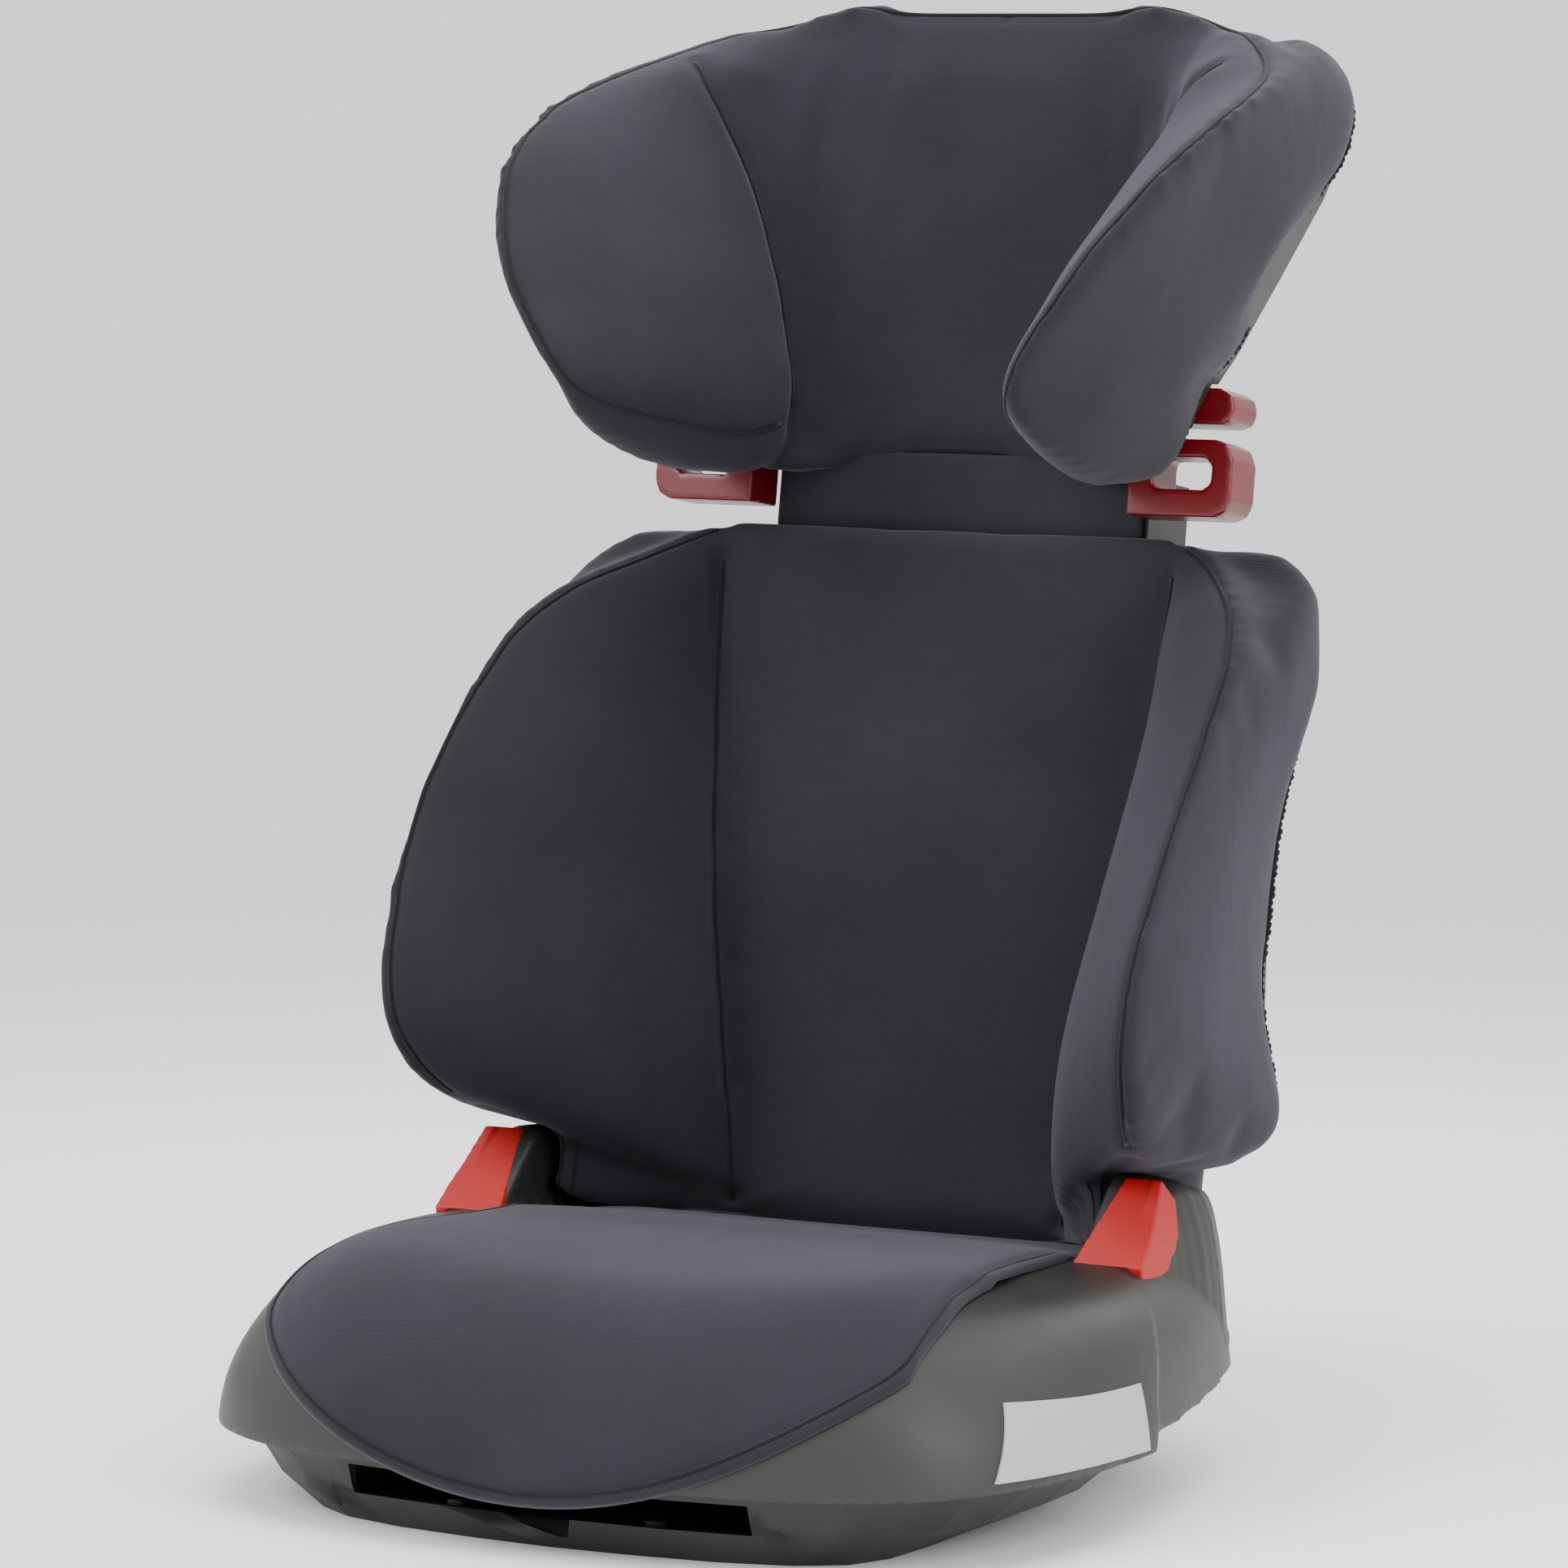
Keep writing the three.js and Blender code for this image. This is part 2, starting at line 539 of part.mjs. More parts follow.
// In front of the outer and rear walls of the moulded shells.
const beforeShell = (stations, grow) => joined(...alongStations(stations, (at) => [
  [40, at.tip[1] - 60], [at.tip[0] - 2 + grow, at.tip[1] - 60], [at.tip[0] - 2 + grow, at.tip[1] + 9],
  [at.root[0] + 14, -16 + grow], [40, -16 + grow],
]));

// Shells stop below the rolled tops of the wings.
const aboveShell = (height) => box([-230, 230], [-260, 100], [height, 800]);

const upright = (low, high, n0, n1) => loft([low, high].map(([height, half]) =>
  [[-half, n0], [half, n0], [half, n1], [-half, n1]].map(([x, n]) => new THREE.Vector3(x, n, height))));

// A wing's padding fills it inside the walls of the moulded shell.
const wingFoam = (stations, ...clear) => cut(wing(stations, WING_PAD_INSET, 1), ...clear);

// ---------------------------------------------------------------- backrest
const TORSO_SHELL_TOP = 341;
const mastChannel = () => box(
  [-CHANNEL_HALF_WIDTH, CHANNEL_HALF_WIDTH], [CHANNEL_FRONT, CHANNEL_REAR], [-20, 700]);

const railRoom = (top) => box([-112.4, 112.4], [-15.2, CHANNEL_REAR + GAP], [-20, top]);

const backrestCover = () => cut(torsoBody(0), torsoBody(COVER_SKIN), behindCover(TORSO, 26, 112),
  mastChannel(), railRoom(359));

function backrestShell() {
  const skin = cut(torsoBody(FOAM_INSET), torsoBody(FOAM_INSET + SHELL_WALL));
  const frontRoom = box([-112, 112], [-90, CHANNEL_REAR + GAP], [-20, 700]);
  const holes = RAIL_SCREWS.map(([x, s]) => rod(SCREW_RADIUS + 0.5, [x, 30, s], [x, 45, s], 8));
  return cut(skin, beforeShell(TORSO, 0), frontRoom, aboveShell(TORSO_SHELL_TOP), ...holes);
}

const backrestFoamCentre = () => torsoBody(FOAM_INSET)
  .intersect(upright([20, 79], [372, 110.5], -60, PANEL_FRONT - GAP));

// The padding of a wing stands clear of the floor of its shell.
const backrestWingFoam = () => cut(
  wingFoam(TORSO, upright([-20, 78], [420, 118], -90, 90)),
  box([-112.4, 112.4], [-20, 90], [-20, 700]),
  box([-230, 230], [-260, 100], [-60, 92]), aboveShell(349));

const supportPanel = () => frontView(
  shapeOf([[-82, 46], [82, 46], [108, 364], [-108, 364]]), PANEL_FRONT, CHANNEL_FRONT - GAP / 2);

const RAIL_SCREWS = [[-107.5, 80], [107.5, 80], [-107.5, 326], [107.5, 326]];

// A rail that guides the mast: an angle with the height notches, and the hinge eye at its foot.
function guideRail() {
  const cos = Math.cos(THREE.MathUtils.degToRad(BACK_LEAN));
  const sin = Math.sin(THREE.MathUtils.degToRad(BACK_LEAN));
  const eyeN = (AXLE_Y - BACK_ORIGIN_Y) * cos - (AXLE_Z - BACK_ORIGIN_Z) * sin;
  const eyeS = (AXLE_Y - BACK_ORIGIN_Y) * sin + (AXLE_Z - BACK_ORIGIN_Z) * cos;
  const web = sideView(shapeOf([
    [eyeN - 9, eyeS], [eyeN - 2, eyeS - 9], [eyeN + 7, eyeS - 6], [eyeN + 14, eyeS + 12], [CHANNEL_REAR, 30],
    [CHANNEL_REAR, 358], [-14.5, 358], [-14.5, 30],
  ]), 99, 104);
  const foot = box([103.6, 111], [CHANNEL_REAR - 3.4, CHANNEL_REAR], [46, 342]);
  const boss = rod(9, [104, eyeN, eyeS], [122, eyeN, eyeS]);
  const bore = rod(AXLE_RADIUS + 0.3, [90, eyeN, eyeS], [130, eyeN, eyeS]);
  const notches = Array.from({ length: RACK_STEPS }, (unused, k) => {
    const height = RACK_START + k * RACK_PITCH;
    return box([90, 104.3], [CHANNEL_REAR - 6, 90], [height - 5, height + 5]);
  });
  const holes = RAIL_SCREWS.map(([x, s]) => rod(SCREW_RADIUS + 0.2, [x, 20, s], [x, 45, s], 8));
  return cut(joined(web, foot, boss), bore, ...notches, ...holes);
}

const railScrew = ([x, s]) => joined(
  rod(4, [x, TORSO_REAR - FOAM_INSET + 0.5, s], [x, TORSO_REAR - FOAM_INSET + 2.6, s], 10),
  rod(SCREW_RADIUS, [x, 27, s], [x, TORSO_REAR - FOAM_INSET + 1, s], 6));

// ---------------------------------------------------------------- headrest
const HEAD_SHELL_TOP = 584;
const MAST_BOTTOM = 176;
const MAST_TOP = 396;
const PLATE_TOP = 600;

// Room for a shoulder belt guide at the rear lower corner of a head wing.
const guidePocket = (side) => box(
  side > 0 ? [CHANNEL_HALF_WIDTH - 2, 156] : [-156, 2 - CHANNEL_HALF_WIDTH], [-44, 40], [360, 438]);
const mastRoom = () => box(
  [-CHANNEL_HALF_WIDTH, CHANNEL_HALF_WIDTH], [MAST_FRONT - GAP, 60], [300, MAST_TOP + 4]);

// Lower edge of the headrest cover, in front of the neck.
const tongue = (grow) => box([-97 - grow, 97 + grow], [MAST_FRONT - 3.4 - grow, MAST_FRONT - 1 + grow],
  [HEAD_BOTTOM - 16, HEAD_BOTTOM + 12 + grow]);

function headrestCover() {
  const skin = cut(headBody(0), headBody(COVER_SKIN), behindCover(HEAD, 16, 94), mastRoom());
  return joined(cut(skin, guidePocket(1), guidePocket(-1)), tongue(0));
}

function headrestShell() {
  const skin = cut(headBody(FOAM_INSET + 0.3), headBody(FOAM_INSET + SHELL_WALL));
  const body = cut(skin, beforeShell(HEAD, 0), box([-90, 90], [-90, 18], [-20, 700]), mastRoom(),
    guidePocket(1), guidePocket(-1), aboveShell(HEAD_SHELL_TOP),
    box([-230, 230], [-260, 100], [0, MAST_TOP + 4]));
  return cut(body, ...PLATE_SCREWS.map(([x, s]) => rod(SCREW_RADIUS + 0.2, [x, 10, s], [x, 40, s], 8)));
}

const headFoamCentre = () => cut(headBody(FOAM_INSET + SHELL_WALL + GAP)
  .intersect(upright([380, 74], [640, 118], -60, 60)), mastRoom(), tongue(GAP));

const headWingFoam = () => wingFoam(HEAD,
  upright([380, 74.8], [640, 118.8], -90, 60), guidePocket(1), mastRoom());

const PLATE_SCREWS = [[-70, 440], [70, 440], [-70, 540], [70, 540]];

// Telescoping neck: a ribbed box section below, and a plate up the back of the headrest.
function headrestMast() {
  const w = MAST_HALF_WIDTH;
  const tube = cut(
    box([-w, w], [MAST_FRONT, MAST_REAR], [MAST_BOTTOM, MAST_TOP]),
    box([3 - w, w - 3], [MAST_FRONT + 2.6, MAST_REAR - 3], [0, MAST_TOP - 3]));
  const ribs = [-48, 0, 48].map((x) => box(
    [x - 1, x + 1], [MAST_FRONT + 1, MAST_REAR - 1], [MAST_BOTTOM + 10, MAST_TOP - 2]));
  const plate = box([-84, 84], [MAST_REAR - 3, MAST_REAR], [MAST_TOP - 6, PLATE_TOP]);
  const guides = [-1, 1].flatMap((side) => [-1, 1].map((end) => box(
    side > 0 ? [34, 92] : [-92, -34], [MAST_REAR - 1, MAST_REAR + 3.2],
    [RACK_START + end * 6.4 - 1.2 + end, RACK_START + end * 6.4 + 1.2 + end])));
  const holes = PLATE_SCREWS.map(([x, s]) => rod(SCREW_RADIUS + 0.4, [x, 10, s], [x, 40, s], 8));
  return cut(joined(tube, plate, ...ribs, ...guides), ...holes);
}

const plateScrew = ([x, s]) => joined(
  rod(4, [x, MAST_REAR + 0.4, s], [x, MAST_REAR + 2.4, s], 10),
  rod(SCREW_RADIUS, [x, MAST_REAR - 6.4, s], [x, MAST_REAR + 1, s], 6));

// Hook for the diagonal belt: a lower loop, an entry slot open to the side, and an upper jaw.
function shoulderGuide() {
  const outline = [
    [98.4, 376], [143, 376], [148.5, 378.5], [151, 384], [151, 403], [148, 409.5], [142, 412],
    [112, 412], [112, 419], [143, 419], [148, 421], [150, 427], [148, 433], [142, 436], [98.4, 436],
  ];
  const hole = [
    [111, 390.5], [113, 388.5], [137, 388.5], [140.5, 392],
    [140.5, 400], [137, 403.5], [113, 403.5], [111, 401.5]];
  return cut(frontView(shapeOf(outline), -42, -14), frontView(shapeOf(hole), -60, 0));
}

// Flat bolt behind the mast plate, drawn inwards by the handle.
const lockBolt = () => box(
  [30, 98.4], [MAST_REAR + 0.4, MAST_REAR + 3.2], [RACK_START - 5.2, RACK_START + 5.2]);

function releaseRod() {
  const n = [MAST_REAR + 0.4, MAST_REAR + 3.2];
  return joined(
    box([-6, 6], n, [RACK_START, 562]),
    frontView(shapeOf([[-24, 178], [24, 178], [24, 192], [8, 206], [-8, 206], [-24, 192]]), ...n));
}

function adjusterHandle() {
  const grip = sideView(shapeOf([
    [29.4, 562.4], [40, 562.4], [46, 566], [50, 574], [49, 580], [44, 582], [41, 575], [36, 570.5],
    [33.4, 573], [33.4, 592], [29.4, 592],
  ]), -46, 46);
  return cut(grip, box([-38, 38], [38, 60], [566.5, 571]));
}

// ---------------------------------------------------------------- scene graph
const seat = new THREE.Group();
const back = new THREE.Group();
back.position.set(0, BACK_ORIGIN_Y, BACK_ORIGIN_Z);
back.rotation.x = -THREE.MathUtils.degToRad(BACK_LEAN);
seat.add(back);

// Cutting can leave loose shavings: only the piece itself is kept, before and after welding its points.
function piece(body) {
  const largest = (bodies) => bodies.reduce((best, next) => (next.volume() > best.volume() ? next : best));
  return largest(solid(surface(largest(body.decompose()))).decompose());
}

function place(parent, name, body, material) {
  const mesh = new THREE.Mesh(surface(piece(body)), material);
  mesh.name = name;
  parent.add(mesh);
}

function mirrored(body) {
  const geometry = surface(body);
  geometry.scale(-1, 1, 1);
  return solid(geometry);
}

function placePair(parent, name, left, material) {
  place(parent, `${name}_left`, left, material);
  place(parent, `${name}_right`, mirrored(piece(left)), material);
}

place(seat, 'base_shell', baseShell(), shellPlastic);
place(seat, 'base_tray', baseTray(), trayPlastic);
place(seat, 'seat_foam', seatFoam(), foam);
place(seat, 'seat_cover', seatCover(), fabric);
place(seat, 'side_plate', sidePlate(), plateGrey);
placePair(seat, 'lap_guide', lapGuideBody(1, 0), lapRed);
place(seat, 'hinge_axle', rod(AXLE_RADIUS, [-154, AXLE_Y, AXLE_Z], [154, AXLE_Y, AXLE_Z]), steel);
placePair(seat, 'axle_clip', axleClip(), blackPlastic);
TRAY_SCREWS.forEach((at, k) => place(seat, `tray_screw_${k + 1}`, trayScrew(at), steel));
FEET.forEach((at, k) => place(seat, `foot_${k + 1}`, rubberFoot(at), rubber));

place(back, 'backrest_cover', backrestCover(), fabric);
place(back, 'backrest_shell', backrestShell(), shellPlastic);
place(back, 'backrest_foam_centre', backrestFoamCentre(), foam);
placePair(back, 'backrest_wing_foam', backrestWingFoam(), foam);
place(back, 'support_panel', supportPanel(), shellPlastic);
placePair(back, 'guide_rail', guideRail(), blackPlastic);
RAIL_SCREWS.forEach((at, k) => place(back, `rail_screw_${k + 1}`, railScrew(at), steel));

place(back, 'headrest_cover', headrestCover(), fabric);
place(back, 'headrest_shell', headrestShell(), shellPlastic);
place(back, 'headrest_mast', headrestMast(), shellPlastic);
place(back, 'headrest_foam_centre', headFoamCentre(), foam);
placePair(back, 'headrest_wing_foam', headWingFoam(), foam);
placePair(back, 'shoulder_guide', shoulderGuide(), shoulderRed);
PLATE_SCREWS.forEach((at, k) => place(back, `plate_screw_${k + 1}`, plateScrew(at), steel));
place(back, 'adjuster_handle', adjusterHandle(), lapRed);
place(back, 'release_rod', releaseRod(), steel);
placePair(back, 'lock_bolt', lockBolt(), blackPlastic);

export default seat;
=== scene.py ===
"""High-back booster seat: upholstery, materials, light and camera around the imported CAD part."""

import json
import math

import bmesh
import bpy
import numpy as np
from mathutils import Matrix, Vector
from mathutils.bvhtree import BVHTree


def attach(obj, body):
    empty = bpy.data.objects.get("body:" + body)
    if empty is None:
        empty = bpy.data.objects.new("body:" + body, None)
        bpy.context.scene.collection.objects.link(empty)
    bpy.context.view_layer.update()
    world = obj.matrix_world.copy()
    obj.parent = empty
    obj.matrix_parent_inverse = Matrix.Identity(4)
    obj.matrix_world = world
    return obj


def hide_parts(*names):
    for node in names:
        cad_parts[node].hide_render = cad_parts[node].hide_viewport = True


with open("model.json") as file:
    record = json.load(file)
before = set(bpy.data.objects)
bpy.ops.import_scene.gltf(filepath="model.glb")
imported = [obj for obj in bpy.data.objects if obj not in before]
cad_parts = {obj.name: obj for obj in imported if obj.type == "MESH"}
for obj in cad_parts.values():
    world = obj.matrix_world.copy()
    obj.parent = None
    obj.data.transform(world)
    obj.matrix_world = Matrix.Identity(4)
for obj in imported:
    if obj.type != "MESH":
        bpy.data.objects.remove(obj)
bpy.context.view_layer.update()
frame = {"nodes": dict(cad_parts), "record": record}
NODES = frame["nodes"]

MM = 0.001
LEAN = math.radians(9.5)
BACK_Y, BACK_Z = 185.0, 50.0


# ------------------------------------------------------------------ small geometry helpers
def back_to_world(points):
    """Points (across, out of, up) the leaning back in mm, as upright points in metres."""
    p = np.asarray(points, float)
    out = np.empty_like(p)
    out[..., 0] = p[..., 0]
    out[..., 1] = BACK_Y + p[..., 1] * math.cos(LEAN) + p[..., 2] * math.sin(LEAN)
    out[..., 2] = BACK_Z - p[..., 1] * math.sin(LEAN) + p[..., 2] * math.cos(LEAN)
    return out * MM


def world_to_back(points):
    """The inverse of back_to_world."""
    p = np.asarray(points, float) / MM
    y, z = p[..., 1] - BACK_Y, p[..., 2] - BACK_Z
    out = p.copy()
    out[..., 1] = y * math.cos(LEAN) - z * math.sin(LEAN)
    out[..., 2] = y * math.sin(LEAN) + z * math.cos(LEAN)
    return out


def cubic(table, at):
    """Smooth interpolation of the columns of a table over its first column."""
    t = np.asarray(table, float)
    x, y = t[:, 0], t[:, 1:]
    order = np.argsort(x)
    x, y = x[order], y[order]
    slope = np.gradient(y, x, axis=0)
    at = np.clip(np.asarray(at, float), x[0], x[-1])
    k = np.clip(np.searchsorted(x, at) - 1, 0, len(x) - 2)
    h = (x[k + 1] - x[k])[:, None]
    u = ((at - x[k]) / h[:, 0])[:, None]
    return (
        y[k] * (2 * u**3 - 3 * u**2 + 1)
        + slope[k] * h * (u**3 - 2 * u**2 + u)
        + y[k + 1] * (3 * u**2 - 2 * u**3)
        + slope[k + 1] * h * (u**3 - u**2)
    )


def smooth_line(points, count, closed=False):
    """Centripetal Catmull-Rom line through points, with evenly spread samples."""
    p = np.asarray(points, float)
    if closed:
        p = np.vstack([p[-1], p, p[0], p[1]])
    else:
        p = np.vstack([2 * p[0] - p[1], p, 2 * p[-1] - p[-2]])
    fine = []
    for a, b, c, d in zip(p[:-3], p[1:-2], p[2:-1], p[3:]):
        t0 = 0.0
        t1 = t0 + max(np.linalg.norm(b - a), 1e-6) ** 0.5
        t2 = t1 + max(np.linalg.norm(c - b), 1e-6) ** 0.5
        t3 = t2 + max(np.linalg.norm(d - c), 1e-6) ** 0.5
        t = np.linspace(t1, t2, 17)[:-1, None]
        a1 = (t1 - t) / (t1 - t0) * a + (t - t0) / (t1 - t0) * b
        a2 = (t2 - t) / (t2 - t1) * b + (t - t1) / (t2 - t1) * c
        a3 = (t3 - t) / (t3 - t2) * c + (t - t2) / (t3 - t2) * d
        b1 = (t2 - t) / (t2 - t0) * a1 + (t - t0) / (t2 - t0) * a2
        b2 = (t3 - t) / (t3 - t1) * a2 + (t - t1) / (t3 - t1) * a3
        fine.append((t2 - t) / (t2 - t1) * b1 + (t - t1) / (t2 - t1) * b2)
    fine = np.vstack(fine + [p[-2][None]])
    run = np.concatenate([[0], np.cumsum(np.linalg.norm(np.diff(fine, axis=0), axis=1))])
    want = np.linspace(0, run[-1], count + 1)[:-1] if closed else np.linspace(0, run[-1], count)
    return np.stack([np.interp(want, run, fine[:, k]) for k in range(fine.shape[1])], 1)


def mesh_object(name, verts, faces):
    mesh = bpy.data.meshes.new(name)
    mesh.from_pydata([tuple(v) for v in verts], [], [tuple(f) for f in faces])
    mesh.validate()
    obj = bpy.data.objects.new(name, mesh)
    bpy.context.scene.collection.objects.link(obj)
    return obj


def loft(name, rings):
    """Closed body through rings of equal point count."""
    rings = np.asarray(rings)
    count, slices = rings.shape[:2]
    verts = rings.reshape(-1, 3)
    faces = []
    for r in range(count - 1):
        for k in range(slices):
            a, b = r * slices + k, r * slices + (k + 1) % slices
            faces.append((a, b, b + slices, a + slices))
    ends = np.vstack([rings[0].mean(0), rings[-1].mean(0)])
    first, last = len(verts), len(verts) + 1
    top = (count - 1) * slices
    for k in range(slices):
        faces.append((first, (k + 1) % slices, k))
        faces.append((last, top + k, top + (k + 1) % slices))
    obj = mesh_object(name, np.vstack([verts, ends]), faces)
    outward(obj)
    return obj


def outward(obj):
    bm = bmesh.new()
    bm.from_mesh(obj.data)
    bmesh.ops.recalc_face_normals(bm, faces=bm.faces)
    if bm.calc_volume(signed=True) < 0:
        bmesh.ops.reverse_faces(bm, faces=bm.faces)
    bm.to_mesh(obj.data)
    bm.free()


def apply_all(obj):
    """Turns the object's modifiers into its mesh."""
    bpy.context.view_layer.update()
    done = bpy.data.meshes.new_from_object(obj.evaluated_get(bpy.context.evaluated_depsgraph_get()))
    obj.modifiers.clear()
    old = obj.data
    obj.data = done
    bpy.data.meshes.remove(old)


def join(name, objects):
    bpy.ops.object.select_all(action="DESELECT")
    for o in objects:
        o.select_set(True)
    bpy.context.view_layer.objects.active = objects[0]
    bpy.ops.object.join()
    objects[0].name = name
    return objects[0]


def coords(obj):
    co = np.empty(len(obj.data.vertices) * 3)
    obj.data.vertices.foreach_get("co", co)
    return co.reshape(-1, 3)


def set_coords(obj, co):
    obj.data.vertices.foreach_set("co", np.ascontiguousarray(co).ravel())
    obj.data.update()


def normals(obj):
    n = np.empty(len(obj.data.vertices) * 3)
    obj.data.vertices.foreach_get("normal", n)
    return n.reshape(-1, 3)


def nearest_distance(points, line):
    """Distance from each point to a polyline, by its segments."""
    best = np.full(len(points), 1e9)
    for a, b in zip(line[:-1], line[1:]):
        d = b - a
        t = np.clip(((points - a) @ d) / max(d @ d, 1e-12), 0, 1)
        best = np.minimum(best, np.linalg.norm(points - (a + t[:, None] * d), axis=1))
    return best


# ------------------------------------------------------------------ upholstery
def remesh(obj, voxel, smooth):
    m = obj.modifiers.new("remesh", "REMESH")
    m.mode = "VOXEL"
    m.voxel_size = voxel * MM
    m.use_smooth_shade = True
    s = obj.modifiers.new("smooth", "SMOOTH")
    s.factor = 0.5
    s.iterations = smooth
    apply_all(obj)


def stuff(obj, seams, cap, pressure=4.0, frames=20):
    """Inflates a padded piece with a cloth simulation that is held along its seams."""
    start = coords(obj)
    hold = np.zeros(len(start))
    for line in seams:
        hold = np.maximum(hold, np.clip(1.3 - nearest_distance(start, line) / (9 * MM), 0, 1))
    group = obj.vertex_groups.new(name="hold")
    for k, w in enumerate(hold):
        if w > 0:
            group.add([k], float(w), "REPLACE")
    cloth = obj.modifiers.new("cloth", "CLOTH")
    cs = cloth.settings
    cs.quality = 5
    cs.mass = 0.3
    cs.tension_stiffness = 20
    cs.compression_stiffness = 20
    cs.shear_stiffness = 12
    cs.bending_stiffness = 1.5
    cs.vertex_group_mass = "hold"
    cs.pin_stiffness = 1.0
    cs.use_pressure = True
    cs.uniform_pressure_force = pressure
    cs.effector_weights.gravity = 0
    cloth.point_cache.frame_start = 1
    cloth.point_cache.frame_end = frames
    scene = bpy.context.scene
    for f in range(1, frames + 1):
        scene.frame_set(f)
    bpy.context.view_layer.update()
    end = obj.evaluated_get(bpy.context.evaluated_depsgraph_get())
    moved = np.empty(len(start) * 3)
    end.data.vertices.foreach_get("co", moved)
    moved = moved.reshape(-1, 3) - start
    length = np.linalg.norm(moved, axis=1, keepdims=True)
    moved *= np.minimum(1, cap * MM / np.maximum(length, 1e-9))
    obj.modifiers.clear()
    scene.frame_set(1)
    set_coords(obj, start + moved)


def relax(obj, iterations):
    m = obj.modifiers.new("relax", "SMOOTH")
    m.factor = 0.5
    m.iterations = iterations
    apply_all(obj)


def refine(obj):
    s = obj.modifiers.new("sub", "SUBSURF")
    s.levels = s.render_levels = 1
    apply_all(obj)
    for p in obj.data.polygons:
        p.use_smooth = True


def groove(obj, line, depth, width):
    """Pulls the surface in along a sewn seam."""
    co = coords(obj)
    near = nearest_distance(co, line)
    co -= normals(obj) * (depth * MM * np.exp(-((near / (width * MM)) ** 2)))[:, None]
    set_coords(obj, co)


def surface_line(obj, line, lift):
    """The line laid on the surface, and lifted off it."""
    tree = BVHTree.FromObject(obj, bpy.context.evaluated_depsgraph_get())
    out = []
    for p in line:
        hit, normal, _, _ = tree.find_nearest(Vector(p))
        out.append(np.array(hit + normal * lift * MM))
    out = np.array(out)
    for _ in range(3):
        out[1:-1] = 0.25 * out[:-2] + 0.5 * out[1:-1] + 0.25 * out[2:]
    return out


def tube(name, line, radius, closed=False, flatten=1.0, sides=8):
    """Round cord along a line, as a mesh."""
    line = np.asarray(line, float)
    count = len(line)
    nxt = np.roll(line, -1, 0) if closed else np.vstack([line[1:], line[-1:] * 2 - line[-2:-1]])
    prv = np.roll(line, 1, 0) if closed else np.vstack([line[:1] * 2 - line[1:2], line[:-1]])
    along = nxt - prv
    along /= np.linalg.norm(along, axis=1, keepdims=True)
    side = np.cross(along[0], [0, 0, 1.0])
    if np.linalg.norm(side) < 0.2:
        side = np.cross(along[0], [0, 1.0, 0])
    verts = []
    for k in range(count):
        side = side - along[k] * (side @ along[k])
        side /= np.linalg.norm(side)
        up = np.cross(along[k], side)
        r = radius[k] if hasattr(radius, "__len__") else radius
        for j in range(sides):
            a = 2 * math.pi * j / sides
            verts.append(line[k] + r * MM * (math.cos(a) * side + flatten * math.sin(a) * up))
    faces = []
    for k in range(count if closed else count - 1):
        for j in range(sides):
            a, b = k * sides + j, k * sides + (j + 1) % sides
            c, d = ((k + 1) % count) * sides + (j + 1) % sides, ((k + 1) % count) * sides + j
            faces.append((a, b, c, d))
    if not closed:
        faces.append(tuple(range(sides))[::-1])
        faces.append(tuple((count - 1) * sides + j for j in range(sides)))
    obj = mesh_object(name, verts, faces)
    outward(obj)
    for p in obj.data.polygons:
        p.use_smooth = True
    return obj


def puffed(name, parts, seams, voxel, cap, smooth=8, grooves=()):
    """Joins closed parts into one stuffed form, with its seams pulled in."""
    obj = join(name, parts)
    remesh(obj, voxel, smooth)
    stuff(obj, seams, cap)
    relax(obj, 5)
    refine(obj)
    for line, depth, width in grooves:
        groove(obj, line, depth, width)
    return obj


def mixed(a, b, t):
    """Part way from a to b."""
    return a + (b - a) * t


def step(value, low, high):
    """Eases from 0 at low to 1 at high."""
    t = np.clip((np.asarray(value, float) - low) / (high - low), 0, 1)
    return t * t * (3 - 2 * t)


# Backrest wing: front seam, root beside the centre panel, and outer side, up the back.
TORSO_TIP = [
    (78, 168, -130), (84, 174, -150), (106, 183, -181), (128, 186, -193), (150, 187, -194),
    (172, 188, -189), (194, 190, -182), (216, 191, -172), (238, 191, -159), (261, 190, -143),
    (284, 188, -125), (307, 184, -105), (332, 169, -75), (355, 140, -38), (365, 122, -30),
]
TORSO_ROOT = [
    (45, 86, -28), (93, 93, -30), (132, 99, -30), (170, 105, -30), (228, 111, -30),
    (267, 114, -29), (305, 116, -29), (348, 118, -28), (364, 117, -27),
]
TORSO_SIDE = [
    (76, 184, -62), (88, 191, -34), (110, 193.5, -25), (130, 194, -38), (150, 194, -49),
    (205, 194.5, -53), (248, 194.5, -45), (277, 194, -31), (300, 193, -19), (325, 191, -15),
    (350, 185, -13), (364, 168, -9),
]
TORSO_BACK = [(45, 98, 27), (150, 109, 28), (260, 113, 28), (345, 115, 27), (364, 113, 24)]
RING = 72


